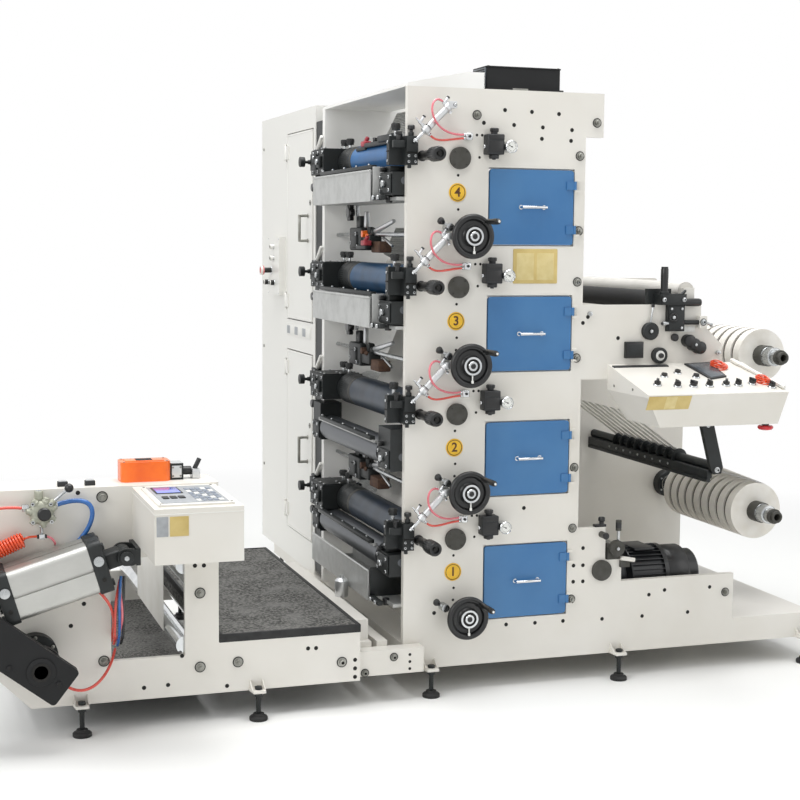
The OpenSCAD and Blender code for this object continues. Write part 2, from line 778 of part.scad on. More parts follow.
module paper_web() at_press() color("#f1eee6") {
    for (i = [0:reels - 1])
        plate_y([reel_y + i * reel_pitch, reel_y + i * reel_pitch + reel_w]) {
            strip_shape(strip_top, bar_at + [4, bar_gap]);
            strip_shape(bar_at + [4, bar_gap], strip_end);
        }
    for (k = [0, 1])
        web_wrap(k);
    block([-843.5, -842.5], web_y, [262, 545]);
}

motor_y = 220;
motor_z = 346;

module drive_motor() at_press() color("#1c1d1e") {
    rod_x([940, 980], motor_y, motor_z, 84);
    rod_x([980, 1145], motor_y, motor_z, 118);
    rod_x([1145, 1240], motor_y, motor_z, 110);
    rod_x([1240, 1290], motor_y, motor_z, 90);
    block([990, 1230], [motor_y - 95, motor_y + 95], [deck_z, motor_z - 60]);
    rod_x([877, 940], motor_y, motor_z, 22);
}

// Small levers and knobs on the lower right extension of the front panel
module step_levers() {
    rod_y(850, [-16, 0], 505, 30);
    block([818, 872], [0, 20], [460, 520]);
    rod_z(858, -8, [530, 572], 5);
    rod_z(858, -8, [572, 612], 11);
    block([868, 906], [-14, 0], [430, 456]);
    rod_y(790, [-34, 0], 560, 12);
}

// ---- control desk ----
module desk_profile()
    polygon([[0, desk_bottom_z], [desk_toe, desk_bottom_z], [desk_front, desk_top_z[1]],
        [0, desk_top_z[0]]]);

module control_desk() at_press() color("#e3e1d8")
    intersection() {
        plate_x(desk_x) desk_profile();
        plate_y([desk_front - over, over])
            polygon([[desk_x[0], 1210], [desk_x[0], 1110], [desk_foot_x, desk_bottom_z],
                [desk_x[1], desk_bottom_z], [desk_x[1], 1210]]);
    }

// Things that stand on the sloped top, placed from its back edge
module on_desk(x, back)
    translate([x, 0, desk_top_z[0]])
        rotate([desk_slope, 0, 0])
            translate([0, -back, 0])
                children();

// Coiled air lines on the desk: place along X, distance from the back edge, radius
coil_places = [[1232, 62, 28], [1326, 232, 26]];
coil_wire = 9;

module desk_controls() at_press() color("#222326") {
    for (i = [0:7])
        on_desk(850 + 66 * i, 262) {
            cylinder(r = 13, h = 12);
            translate([-5, -14, 12])
                cube([10, 28, 12]);
        }
    for (i = [0:7])
        on_desk(872 + 62 * i, 196)
            cylinder(r = 11, h = 14);
    on_desk(1100, 190)
        cube([100, 150, 6]);
    // Stop button under the right end
    rod_z(1348, -222, [desk_bottom_z - 10, desk_bottom_z], 13);
    rod_z(1348, -222, [desk_bottom_z - 28, desk_bottom_z - 10], 29);
    // Coiled air lines that lie on the top
    for (p = coil_places)
        on_desk(p[0], p[1])
            rotate_extrude()
                translate([p[2], coil_wire])
                    circle(coil_wire);
}

// ---- unwinder ----
module unwind_outline(top)
    difference() {
        polygon([[-1330, base_z], [-187, base_z], [-187, low_z], [post_x, low_z], [post_x, top],
            [-1534, top], [-1534, 300]]);
        translate([window_x[0], window_z[0]])
            square([window_x[1] - window_x[0], window_z[1] - window_z[0]]);
        translate(pivot_at)
            circle(pivot_r + fit);
    }

module unwind_front_plate() at_press() color("#e2dfd6") {
    plate_y([side_y[0], side_y[0] + side_t])
        unwind_outline(unwind_top);
    // Shelf behind the top edge
    block([-1440, post_x], [side_y[0] + side_t, 110], [unwind_top - 15, unwind_top]);
}

// Boss of the lift arms, ears and pin of the lift cylinder, and their block on the side plate
module lift_bracket() {
    difference() {
        rod_y(pivot_at[0], [side_y[0] - 45, side_y[0]], pivot_at[1], 74);
        rod_y(pivot_at[0], [side_y[0] - 45 - over, side_y[0] + over], pivot_at[1], pivot_r + fit);
    }
    for (y = [[lift_y - 62, lift_y - 48], [lift_y + 48, lift_y + 62]])
        plate_y(y)
            link_shape(barrel_at, barrel_at + [16, 0], ear_r);
    block([barrel_at[0] + 33, barrel_at[0] + 47], [lift_y - 62, side_y[0]],
        [barrel_at[1] - ear_r, barrel_at[1] + ear_r]);
    rod_y(barrel_at[0], [lift_y - 70, lift_y + 70], barrel_at[1], pin_r);
    // Drive of the web guide
    block([-846, -800], [10, 70], [unwind_top, unwind_top + 56]);
}

module unwind_rear_plate() at_press() color("#e2dfd6")
    plate_y([side_y[1], side_y[1] + side_t])
        unwind_outline(rear_top);

inside_y = [side_y[0] + side_t, side_y[1]];

module unwind_rollers() at_press() color("#bfc1c0") {
    for (p = [[-1440, 520], [-1095, 180], [-260, 180], [-765, 460]])
        rod_y(p[0], inside_y, p[1], 24);
    for (p = [[-810, 270], [-810, 550], [-1160, 540], [-640, 200]])
        rod_y(p[0], inside_y, p[1], 32);
}

module platform() at_press() color("#5a5a58") {
    block([post_x + 2, -187], [side_y[0], side_y[1] + side_t], [low_z, platform_z]);
    block([post_x + 2, -200], [inside_y[0] + 40, inside_y[1] - 40], [low_z - 40, low_z]);
    // Matted floor between the side plates
    block([-1300, -712], inside_y, [base_z + 7, base_z + 12]);
}

box_x = [-990, -709];
box_z = [655, 830];

module operator_box() at_press() color("#e6e4dc") {
    block(box_x, [box_front, side_y[0]], box_z);
    block([-970, -730], [box_front + 40, side_y[0] - 60], [box_z[1], box_z[1] + 6]);
}

module guide_motor() at_press() color("#e87722")
    translate([0, 0, unwind_top])
        linear_extrude(68)
            rounded([-1016, -846], [-10, 90], 22);

module unwind_arm(y)
    plate_y(y)
        translate(pivot_at)
            rotate(180 - arm_rest)
                rounded([-arm_tail, arm_len + arm_half], [-arm_half, arm_half], 14);

module lift_arms() at_press() color("#202122") {
    unwind_arm(arm_y);
    unwind_arm(rear_arm_y);
    rod_y(pivot_at[0], [arm_y[1], rear_arm_y[0]], pivot_at[1], pivot_r);
    rod_y(pivot_at[0], [arm_y[1], arm_y[1] + 30], pivot_at[1], 72);
    rod_y(shaft_at[0], [arm_y[1], rear_arm_y[0]], shaft_at[1], unwind_shaft_r);
    rod_y(crank_at[0], [arm_y[1], lift_y + 30], crank_at[1], pin_r);
}

barrel_half = 88;                           // half the width of the cylinder's profile
barrel_in = 66;                             // from the fixed pin to the near face of the barrel
barrel_out = 420;                           // from the fixed pin to its far face
cap_len = 46;
bore_r = 20;

// Frame of the lift cylinder: -X runs from the fixed pin towards the arm
module along_lift()
    translate([barrel_at[0], lift_y, barrel_at[1]])
        rotate([0, -lift_tilt, 0])
            children();

// A length of the cylinder whose section is a square with round corners
module barrel_length(x, half, corner)
    translate([x[0], 0, 0])
        rotate([90, 0, 90])
            linear_extrude(x[1] - x[0])
                rounded([-half, half], [-half, half], corner);

module lift_barrel() at_press() color("#b4b7b9") along_lift()
    difference() {
        union() {
            barrel_length([-barrel_out, cap_len - barrel_out], barrel_half, 22);
            barrel_length([cap_len - barrel_out, -barrel_in - cap_len], barrel_half - 5, 30);
            barrel_length([-barrel_in - cap_len, -barrel_in], barrel_half, 22);
            block([-barrel_in, 0], [-42, 42], [-27, 27]);
            rod_y(0, [-42, 42], 0, 27);
        }
        rod_y(0, [-43, 43], 0, pin_r + fit);
        rod_x([-barrel_out - over, -barrel_in - 60], 0, 0, bore_r + fit);
    }

module lift_rod() at_press() color("#c8cacb") along_lift()
    difference() {
        union() {
            rod_x([-lift_span + 30, -barrel_in - 74], 0, 0, bore_r);
            rod_y(-lift_span, [-22, 22], 0, pin_r + eye_gap + 12);
        }
        rod_y(-lift_span, [-23, 23], 0, pin_r + eye_gap);
    }

module air_manifold() at_press() color("#8d8f86") {
    translate([-1290, side_y[0], 775]) {
        block([-40, 40], [-46, 0], [-50, 30]);
        rod_z(-8, -23, [30, 62], 14);
        rod_x([-62, -40], -23, 5, 13);
        rod_y(20, [-70, -46], -20, 16);
        translate([30, -40, 20])
            rotate([0, 50, 0])
                cylinder(r = 5, h = 70);
        translate([88, -40, 68])
            sphere(15);
    }
    // Joint under it and the elbow on the side plate, the two ends of the coiled line
    rod_z(-1290, -103, [692, 725], 5);
    block([-1300, -1280], [-113, -93], [674, 692]);
    block([-1519, -1505], [-122, side_y[0]], [608, 628]);
}

module air_tubes() at_press() color("#e0504a") {
    for (k = stations)
        translate([0, 0, k * pitch]) {
            tube(bend([210.2, -14, 656], [40, -75, 640], [40, -88, 800], [115.4, -40, 768.4]), 4);
            tube(bend([72.4, -40, 647.2], [100, -40, 620], [150, -14, 640], [211.5, -14, 643]), 4);
            block([212, 240], [-26, 0], [636, 664]);
        }
    tube(bend([-1246.8, -103, 785], [-1060, -103, 830], [-1160, -150, 700], [-1160, -81.4, 700], 14), 8);
    tube(bend([-1353.2, -103, 780], [-1420, -103, 790], [-1480, -140, 780], [-1480, -81.4, 770]), 5);
}

// Coiled air line: a thin tube to each end of the coil, and the coil as one thick tube
coil_ends = [[-1348, -112, 680], [-1470, -112, 628]];
coil_from = [-1300, -103, 684];
coil_to = [-1505, -112, 618];
coil_r = 27;
line_r = 4;

module air_coil() at_press() color("#f0582c") {
    d = 16 * unit(coil_ends[1] - coil_ends[0]);
    tube(bend(coil_from, coil_from - [20, 0, 0], coil_ends[0] - d, coil_ends[0], 6), line_r);
    tube([coil_ends[0], (coil_ends[0] + coil_ends[1]) / 2, coil_ends[1]], coil_r);
    tube(bend(coil_ends[1], coil_ends[1] + d, coil_to + [12, 0, 0], coil_to, 6), line_r);
}

base_frame();
base_deck();
levelling_feet();
front_panel();
rear_panel();
rewind_back_plate();
cross_bars();
top_cover();
blower_box();
drive_case();
electric_cabinet();
cabinet_door_upper();
cabinet_door_lower();
switch_strip();
access_door_1();
access_door_2();
access_door_3();
access_door_4();
handwheel_1();
handwheel_2();
handwheel_3();
handwheel_4();
bearing_caps();
panel_grips();
pressure_regulators();
air_cylinders();
operator_bearings();
drive_bearings();
ink_trays();
anilox_rollers();
plate_roller_1();
plate_roller_2();
plate_roller_3();
plate_roller_4();
impression_rollers();
web_rollers();
dryer_hoods();
nip_roller();
mount_brackets();
upper_rewind_shaft();
upper_reels();
lower_rewind_shaft();
lower_reels();
slitter_bar();
paper_web();
drive_motor();
control_desk();
desk_controls();
unwind_front_plate();
unwind_rear_plate();
unwind_rollers();
platform();
operator_box();
guide_motor();
lift_arms();
lift_barrel();
lift_rod();
air_manifold();
air_tubes();
air_coil();
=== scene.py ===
"""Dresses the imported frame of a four-station flexographic press."""

import math

import bmesh
import bpy
from bpy.props import FloatProperty, FloatVectorProperty, PointerProperty
from bpy.types import Operator, Panel, PropertyGroup
from mathutils import Matrix, Vector


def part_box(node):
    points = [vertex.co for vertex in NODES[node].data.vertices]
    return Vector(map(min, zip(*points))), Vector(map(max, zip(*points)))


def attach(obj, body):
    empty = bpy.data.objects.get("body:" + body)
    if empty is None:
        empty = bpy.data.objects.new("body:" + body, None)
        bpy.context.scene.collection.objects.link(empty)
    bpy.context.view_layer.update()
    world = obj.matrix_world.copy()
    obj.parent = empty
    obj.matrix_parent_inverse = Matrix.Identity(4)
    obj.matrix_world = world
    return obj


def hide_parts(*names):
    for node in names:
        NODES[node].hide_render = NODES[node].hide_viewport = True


bl_info = {
    "name": "Flexographic press dressing",
    "version": (1, 0, 0),
    "blender": (4, 5, 0),
    "location": "View3D > Sidebar > Press",
    "description": "Finishes and small fittings of a four-station flexographic press",
    "category": "Object",
}

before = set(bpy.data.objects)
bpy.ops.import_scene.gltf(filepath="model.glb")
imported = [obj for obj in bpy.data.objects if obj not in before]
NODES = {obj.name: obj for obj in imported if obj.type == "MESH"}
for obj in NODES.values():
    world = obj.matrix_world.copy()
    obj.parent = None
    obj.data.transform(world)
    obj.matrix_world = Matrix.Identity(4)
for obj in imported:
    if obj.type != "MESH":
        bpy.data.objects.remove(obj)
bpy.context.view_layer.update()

# All places below are in millimetres in the tower's own frame: X to the right along the front plate
# from its left edge, Y back from its face, Z up from the floor.
MM = 0.001
REAR_FACE = 1104
TOWER = Vector((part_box("front_panel")[0].x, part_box("rear_panel")[1].y - REAR_FACE * MM, 0.0))
PITCH = 460
STATIONS = range(4)
X, Y, Z = Vector((1, 0, 0)), Vector((0, 1, 0)), Vector((0, 0, 1))


# ---------------------------------------------------------------- colours and shader nodes

def linear(code, alpha=1.0):
    """An sRGB hex colour as the linear RGBA that a shader socket takes."""
    out = []
    for i in (1, 3, 5):
        c = int(code[i:i + 2], 16) / 255
        out.append(c / 12.92 if c <= 0.04045 else ((c + 0.055) / 1.055) ** 2.4)
    return (*out, alpha)


def node(tree, kind, settings=None, values=None, links=None):
    """Adds one shader node, with its settings, its socket values and the links into it."""
    made = tree.nodes.new(kind)
    for key, value in (settings or {}).items():
        setattr(made, key, value)
    for key, value in (values or {}).items():
        made.inputs[key].default_value = value
    for key, source in (links or {}).items():
        tree.links.new(source, made.inputs[key])
    return made


def start(name):
    """A new material with its shader and its object coordinates."""
    material = bpy.data.materials.new(name)
    material.use_nodes = True
    tree = material.node_tree
    tree.nodes.clear()
    shader = node(tree, "ShaderNodeBsdfPrincipled")
    node(tree, "ShaderNodeOutputMaterial", links={"Surface": shader.outputs["BSDF"]})
    place = node(tree, "ShaderNodeTexCoord").outputs["Object"]
    return tree, shader, place


def grain(tree, place, size, detail=3.0, stretch=(1, 1, 1), rough=0.5):
    """Noise whose features are about size millimetres wide, drawn out by stretch."""
    mapped = node(tree, "ShaderNodeMapping", values={"Scale": tuple(1 / s for s in stretch)},
                  links={"Vector": place})
    noise = node(tree, "ShaderNodeTexNoise",
                 values={"Scale": 1 / (size * MM), "Detail": detail, "Roughness": rough},
                 links={"Vector": mapped.outputs["Vector"]})
    return noise.outputs["Fac"]


def between(tree, source, low, high, to_low=0.0, to_high=1.0):
    """source between low and high, remapped to the two other numbers."""
    return node(tree, "ShaderNodeMapRange",
                values={"From Min": low, "From Max": high, "To Min": to_low, "To Max": to_high},
                links={"Value": source}).outputs["Result"]


def blend(tree, factor, first, second):
    """Colour that goes from first to second, each a hex code, a colour or a socket."""
    mix = node(tree, "ShaderNodeMix", settings={"data_type": "RGBA"}, links={"Factor": factor})
    for slot, colour in ((6, first), (7, second)):
        if isinstance(colour, bpy.types.NodeSocket):
            tree.links.new(colour, mix.inputs[slot])
        else:
            mix.inputs[slot].default_value = linear(colour) if isinstance(colour, str) else (*colour, 1.0)
    return mix.outputs[2]


def relief(tree, shader, height, depth, strength=0.5):
    """Bump of depth millimetres from height."""
    bump = node(tree, "ShaderNodeBump", values={"Distance": depth * MM, "Strength": strength},
                links={"Height": height})
    tree.links.new(bump.outputs["Normal"], shader.inputs["Normal"])


def coated(name, base, tint, rough, blotch=180, peel=2.5, depth=0.12, coat=0.0, metal=0.0,
           spread=0.08, ior=1.5):
    """Paint, lacquer, moulded plastic or cast metal: a mottled colour over a fine grain."""
    tree, shader, place = start(name)
    mottle = between(tree, grain(tree, place, blotch, 4.0), 0.35, 0.68)
    tree.links.new(blend(tree, mottle, base, tint), shader.inputs["Base Color"])
    skin = grain(tree, place, peel, 2.0)
    tree.links.new(between(tree, skin, 0.3, 0.7, rough - spread / 2, rough + spread / 2),
                   shader.inputs["Roughness"])
    relief(tree, shader, skin, depth)
    shader.inputs["Metallic"].default_value = metal
    shader.inputs["IOR"].default_value = ior
    shader.inputs["Coat Weight"].default_value = coat


def drawn(name, base, tint, rough, along, line=1.2, depth=0.03):
    """Metal with tool lines drawn out along one axis."""
    tree, shader, place = start(name)
    stretch = tuple(60 if along == axis else 1 for axis in "XYZ")
    lines = grain(tree, place, line, 3.0, stretch)
    cloud = between(tree, grain(tree, place, 60, 3.0), 0.3, 0.7)
    tree.links.new(blend(tree, cloud, base, tint), shader.inputs["Base Color"])
    tree.links.new(between(tree, lines, 0.3, 0.7, rough - 0.08, rough + 0.1),
                   shader.inputs["Roughness"])
    relief(tree, shader, lines, depth)
    shader.inputs["Metallic"].default_value = 1.0


# ---------------------------------------------------------------- shapes

def shift(way):
    """A move without a turn."""
    return Matrix.Translation(way)


def turned(degrees, axis):
    """A turn about an axis through the origin."""
    return Matrix.Rotation(math.radians(degrees), 4, axis)


def at(x, y, z, towards=Z, spin=0.0):
    """Puts a shape that stands on the origin along Z at a place, standing towards an axis."""
    turn = Z.rotation_difference(Vector(towards)).to_matrix().to_4x4()
    return shift((x, y, z)) @ turn @ turned(spin, "Z")


def soften(bm, edges, size, steps=2):
    """Bevels some edges of a shape."""
    bmesh.ops.bevel(bm, geom=edges, offset=size, segments=steps, profile=0.5, affect="EDGES",
                    material=-1, clamp_overlap=True)


def slab(x, y, z, edge=0.0, steps=2):
    """A block between limits, with softened edges."""
    bm = bmesh.new()
    bmesh.ops.create_cube(bm, size=1)
    size = Vector((x[1] - x[0], y[1] - y[0], z[1] - z[0]))
    bmesh.ops.scale(bm, vec=size, verts=bm.verts)
    bmesh.ops.translate(bm, vec=((x[0] + x[1]) / 2, (y[0] + y[1]) / 2, (z[0] + z[1]) / 2),
                        verts=bm.verts)
    if edge:
        soften(bm, bm.edges[:], edge, steps)
    return bm


def drum(r, length, edge=0.0, sides=32, top=None, steps=2):
    """A round bar on the origin along Z, with softened ends."""
    bm = bmesh.new()
    bmesh.ops.create_cone(bm, cap_ends=True, segments=sides, radius1=r,
                          radius2=r if top is None else top, depth=length)
    bmesh.ops.translate(bm, vec=(0, 0, length / 2), verts=bm.verts)
    if edge:
        rims = [e for e in bm.edges if any(len(f.verts) > 4 for f in e.link_faces)]
        soften(bm, rims, edge, steps)
    return bm


def lathe(profile, sides=48, turn=360):
    """Spins a line of (radius, height) points round Z."""
    bm = bmesh.new()
    verts = [bm.verts.new((r, 0, z)) for r, z in profile]
    edges = [bm.edges.new(pair) for pair in zip(verts, verts[1:])]
    bmesh.ops.spin(bm, geom=verts + edges, cent=(0, 0, 0), axis=(0, 0, 1),
                   angle=math.radians(turn), steps=sides, use_merge=turn == 360)
    bmesh.ops.remove_doubles(bm, verts=bm.verts, dist=0.001)
    bmesh.ops.recalc_face_normals(bm, faces=bm.faces)
    return bm


def prism(outline, depth, edge=0.0, steps=2):
    """An outline in X and Y, raised along Z."""
    bm = bmesh.new()
    face = bm.faces.new([bm.verts.new((*p, 0)) for p in outline])
    raised = bmesh.ops.extrude_face_region(bm, geom=[face])["geom"]
    bmesh.ops.translate(bm, vec=(0, 0, depth), verts=[v for v in raised if isinstance(v, bmesh.types.BMVert)])
    bmesh.ops.recalc_face_normals(bm, faces=bm.faces)
    if edge:
        soften(bm, bm.edges[:], edge, steps)
    return bm


def ball(r, sides=24):
    """A round ball."""
    bm = bmesh.new()
    bmesh.ops.create_uvsphere(bm, u_segments=sides, v_segments=sides // 2, radius=r)
    return bm


def tube_ring(r, thick, sides=48, around=12):
    """A round ring about Z."""
    points = [(r + thick * math.cos(2 * math.pi * i / around), thick * math.sin(2 * math.pi * i / around))
              for i in range(around + 1)]
    return lathe(points, sides)


def round_corners(x, y, r, steps=5):
    """Outline of a rectangle with round corners."""
    points = []
    for cx, cy, first in ((x[1] - r, y[1] - r, 0), (x[0] + r, y[1] - r, 90),
                          (x[0] + r, y[0] + r, 180), (x[1] - r, y[0] + r, 270)):
        for i in range(steps + 1):
            a = math.radians(first + 90 * i / steps)
            points.append((cx + r * math.cos(a), cy + r * math.sin(a)))
    return points


SHARP_FROM = 34


def ring(count, r, first=0.0):
    """Points spread evenly round a circle, the first of them at an angle in degrees."""
    for i in range(count):
        a = math.radians(first) + 2 * math.pi * i / count
        yield r * math.cos(a), r * math.sin(a)


class Made:
    """A piece in the making. Shapes are put into it, and it is then set down on a body."""

    def __init__(self, name, body, *materials):
        self.name = name
        self.body = body
        self.materials = materials
        self.bm = bmesh.new()

    def put(self, shape, slot=0, place=None):
        """Takes up one shape, with the number of its material, moved to its place."""
        for face in shape.faces:
            face.material_index = slot
            face.smooth = True
        if place is not None:
            bmesh.ops.transform(shape, matrix=place, verts=shape.verts)
        mesh = bpy.data.meshes.new("part")
        shape.to_mesh(mesh)
        shape.free()
        self.bm.from_mesh(mesh)
        bpy.data.meshes.remove(mesh)

    def bar(self, slot, place, *size, **more):
        """A round bar at a place; size is what drum takes."""
        self.put(drum(*size, **more), slot, place)

    def each(self, places, slot, towards, *size, here=Matrix.Identity(4)):
        """The same round bar at each place; size is what drum takes."""
        for place in places:
            self.put(drum(*size), slot, here @ at(*place, towards))

    def down(self, replaces=()):
        """Ends the piece: its mesh in metres, its materials and its body, and hides the nodes that it
        replaces.
        """
        mesh = bpy.data.meshes.new(self.name)
        self.bm.to_mesh(mesh)
        self.bm.free()
        mesh.transform(shift(TOWER) @ Matrix.Scale(MM, 4))
        mesh.set_sharp_from_angle(angle=math.radians(SHARP_FROM))
        for material in self.materials:
            mesh.materials.append(bpy.data.materials[material])
        piece = bpy.data.objects.new(self.name, mesh)
        bpy.context.scene.collection.objects.link(piece)
        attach(piece, self.body)
        if replaces:
            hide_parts(*replaces)


def cap_screw(made, x, y, z, towards, r=8, head=9, steel=0, dark=1):
    """Socket head screw on its washer, with painted shade: a dark ring round the washer and a dark socket in
    the head.
    """
    made.bar(dark, at(x, y, z, towards), r * 1.75, 1.6, 0.5, 20)
    made.bar(steel, at(x, y, z, towards), r * 1.45, 2.4, 0.5, 20)
    made.put(lathe([(0, 2), (r, 2), (r, 2 + head - 1), (r - 1, 2 + head), (r * 0.52, 2 + head)], 16), steel,
             at(x, y, z, towards))
    made.put(lathe([(r * 0.52, 2 + head), (r * 0.5, 2 + head * 0.35), (0, 2 + head * 0.35)], 6), dark,
             at(x, y, z, towards))


def socket_screw(made, x, y, z, towards, r, head, hex_r, steel=1, dark=3):
    """Small round head with a dark hexagon in it, painted shade for its socket."""
    made.bar(steel, at(x, y, z, towards), r, head, 0.8 if r < 6 else 1, 12)
    made.bar(dark, at(x, y, z, towards) @ shift((0, 0, head)), hex_r, 0.5, sides=6)


def bore(made, x, y, z, towards, r=5, dark=1):
    """A tapped hole, shown as a flat dark disc with a countersunk rim: painted shade for its inside."""
    made.put(lathe([(r * 1.25, 0.0), (r * 1.2, 0.5), (r, 0.5), (r * 0.9, 0.1), (0, 0.1)], 16), dark,
             at(x, y, z, towards))


# ---------------------------------------------------------------- finishes

def make_finishes(look):
    """Makes every material that the nodes and the new pieces take."""
    # Stove-enamelled steel plate, sprayed and baked: an even satin skin with a faint orange peel.
    coated("stove_enamel", look.ivory, look.ivory_shade, 0.42, blotch=420, peel=3.0, depth=0.06, coat=0.15)
    # Powder enamel on the cabinet, baked: a shade colder and greyer than the plates.
    coated("cabinet_enamel", "#E9E8E3", "#E0DFD9", 0.45, blotch=500, peel=3.0, depth=0.06, coat=0.1)
    # White pre-painted sheet, rolled: smoother and brighter than the plate.
    coated("white_coil_sheet", "#F4F3F0", "#EBEAE5", 0.38, blotch=300, peel=2.0, depth=0.04)
    # Blue stove enamel on the access doors: satin, drifting to a slightly deeper tone.
    coated("blue_stove_enamel", look.blue, "#2F6AA0", 0.38, blotch=260, peel=2.6, depth=0.06, coat=0.2)
    # Grey iron castings and milled blocks, blackened in hot oxide: greenish black, oily, fine grit.
    coated("oxide_blackened_casting", "#151A1B", "#0D1110", 0.5, blotch=45, peel=1.6, depth=0.25, spread=0.2)
    # Machined steel covers with a warm grey phosphate skin: dry and dull.
    coated("phosphated_steel", "#454440", "#37362F", 0.62, blotch=30, peel=1.0, depth=0.05, spread=0.12)
    # Phenolic and nylon knobs, moulded: near black with a soft gloss.
    coated("moulded_phenolic", "#111213", "#0A0B0C", 0.36, blotch=40, peel=1.2, depth=0.03, coat=0.15)
    # Injection-moulded ABS housings: even, with a fine spark-eroded grain.
    coated("black_abs", "#232527", "#1A1C1E", 0.5, blotch=60, peel=0.9, depth=0.06)
    # Black powder coat on sheet steel: a fine sandy skin.
    coated("black_powder_coat", "#131415", "#0D0E0F", 0.6, blotch=120, peel=1.4, depth=0.1, ior=1.4)
    # Blue-black machine lacquer over the rough cast motor: satin, with a slight sag.
    coated("motor_lacquer", "#16191D", "#0F1114", 0.44, blotch=90, peel=2.0, depth=0.1, coat=0.2)
    # Ground and turned steel: bright, with fine tool lines round or along the bar.
    drawn("ground_steel", "#C3C5C6", "#A9ACAD", 0.26, "Y")
    # Zinc-plated bolts, tumbled: dull grey, cloudy, hardly a reflection.
    drawn("zinc_plated_steel", "#A3A39D", "#72726C", 0.36, "Z", line=0.8)
    # Hard chrome, plated and polished: a near mirror.
    drawn("chromed_steel", "#D9DBDC", "#C4C7C9", 0.14, "Y", line=0.6, depth=0.01)
    # Extruded aluminium, silver anodised: a satin sheen drawn out along the profile.
    drawn("anodised_aluminium", "#B4B6B7", "#A2A5A7", 0.36, "X", line=1.0, depth=0.02)
    # The lift cylinder's barrel, brushed along its length before anodising.
    drawn("barrel_aluminium", "#BDBDB9", "#B7B7B3", 0.42, "X", line=1.0, depth=0.015)
    # Stainless sheet wiped clean of ink many times: smudged, cloudy and scratched.
    smudged_sheet("wiped_stainless_sheet", "#B9BAB8", "#B2B3B1", 0.5)
    # Zinc-coated hood sheet, lacquered pale grey: dull and even.
    coated("hood_sheet", "#DDDEDB", "#CFD0CD", 0.55, blotch=200, peel=2.0, depth=0.03)
    # Rubber-covered rollers, ground: dull, with an even colour.
    coated("blue_roller_rubber", "#1B66A2", "#155489", 0.4, blotch=120, peel=1.0, depth=0.03)
    # The same rubber in a deeper blue, for the third station.
    coated("inked_roller_rubber", "#184A70", "#123A58", 0.42, blotch=90, peel=1.0, depth=0.03)
    # The same rubber darker still, for the two lowest stations.
    coated("dark_roller_rubber", "#2A3644", "#1E2832", 0.42, blotch=90, peel=1.0, depth=0.03)
    # Nip roller, ground black rubber: dull and slightly dusty.
    coated("nip_rubber", "#2C2A29", "#1F1E1D", 0.5, blotch=80, peel=1.0, depth=0.04)
    # Moulded rubber feet and edging: matt, with a coarse bloom.
    coated("foot_rubber", "#2A2A2A", "#1C1C1C", 0.7, blotch=30, peel=1.2, depth=0.1)
    # Laser-engraved transfer roller: dark satin steel, its cells too fine to show but as a dull grain.
    coated("engraved_steel", "#4A4E52", "#33373A", 0.35, blotch=60, peel=0.8, depth=0.05, metal=0.9)
    # Glossy moulded ABS housings and buttons.
    coated("orange_abs", look.orange, "#F0661A", 0.34, blotch=80, peel=1.4, depth=0.04, coat=0.2)
    coated("red_abs", "#D5202B", "#B81822", 0.3, blotch=20, peel=1.0, depth=0.02, coat=0.3)
    # Yellow enamel filled into pressed discs: glossy and slightly domed.
    coated("yellow_enamel", "#F3C224", "#E5B31A", 0.35, blotch=20, peel=1.4, depth=0.03, coat=0.3)
    # Smoked acrylic of displays and grilles: smooth, mid grey.
    coated("display_grey", "#5C6166", "#4A4F54", 0.25, blotch=30, peel=1.0, depth=0.01)
    # The hood sheet in the shade of its own louvres.
    coated("louvre_grey", "#8E908E", "#7F817F", 0.6, blotch=60, peel=1.0, depth=0.02)
    # Valve bodies, pressure-cast zinc with a dull greenish passivation.
    coated("valve_casting", "#B0B1A2", "#999A8B", 0.5, blotch=14, peel=1.0, depth=0.12, metal=0.3)
    # Spirally wound brown board of the reel cores, and painted shade: the same dark brown on the discs that
    # fill the gaps between the reels.
    coated("brown_core", "#43362A", "#33291F", 0.8, blotch=20, peel=1.2, depth=0.1)
    # Brown paint wiped into the figures of the discs.
    coated("brown_fill", "#5A3410", "#47280A", 0.5, blotch=10)
    # Red lacquer on the valve bodies, scuffed.
    coated("valve_red", "#B5404A", "#96323C", 0.45, blotch=14, peel=1.0, depth=0.05)
    # Rusted steel of the side-lay arms: brown, dry and uneven.
    coated("rust_brown", "#5E4434", "#453228", 0.8, blotch=14, peel=1.0, depth=0.15)
    # Painted shade: a flat near-black that stands in for the shadow inside holes, sockets, slots and gaps; it
    # also colours dark split lines and the gauges' ticks and needles.
    coated("hole_shadow", "#15130F", "#0E0D0B", 0.8, blotch=10)
    # Printed white card or paint behind a dial.
    coated("white_dial", "#F2F2EE", "#E4E4DF", 0.4, blotch=10, peel=0.6, depth=0.01)
    # Silk-screened foil over membrane keys: matt and even.
    coated("key_grey", "#A6A9AC", "#989B9E", 0.5, blotch=20, peel=0.8, depth=0.04)
    coated("keypad_blue", "#8A929E", "#7B8390", 0.45, blotch=20, peel=0.6, depth=0.02)
    # Violet-blue field of the display, glossy as its glass.
    coated("lcd_glass", "#7C94E6", "#8E8BDC", 0.12, blotch=30, peel=4, depth=0.0)
    # Etched brass plates, lacquered, and the paler fields on them.
    coated("brass_label", "#CDB87A", "#BFA868", 0.42, blotch=60, peel=1.0, depth=0.03, metal=0.35)
    coated("label_tint", "#DCCB92", "#D2BF82", 0.5, blotch=30, peel=0.8, depth=0.02)
    # Polyurethane pressure tube, extruded: glossy, in the colours that tell the lines apart.
    for name, base, tint in (("red_pu_tube", "#E65A4C", "#D84B3E"), ("pink_pu_tube", "#E8808A", "#DC6F7A"),
                             ("blue_pu_tube", "#2C6DB8", "#235C9F"), ("black_pu_tube", "#26282B", "#1B1D20"),
                             ("orange_pu_tube", "#F0582C", "#DE4A22")):
        coated(name, base, tint, 0.25, blotch=40, peel=3, depth=0.01, coat=0.4)
    speckled_mat()
    wound_paper()
    web_paper()
    roller_paper()


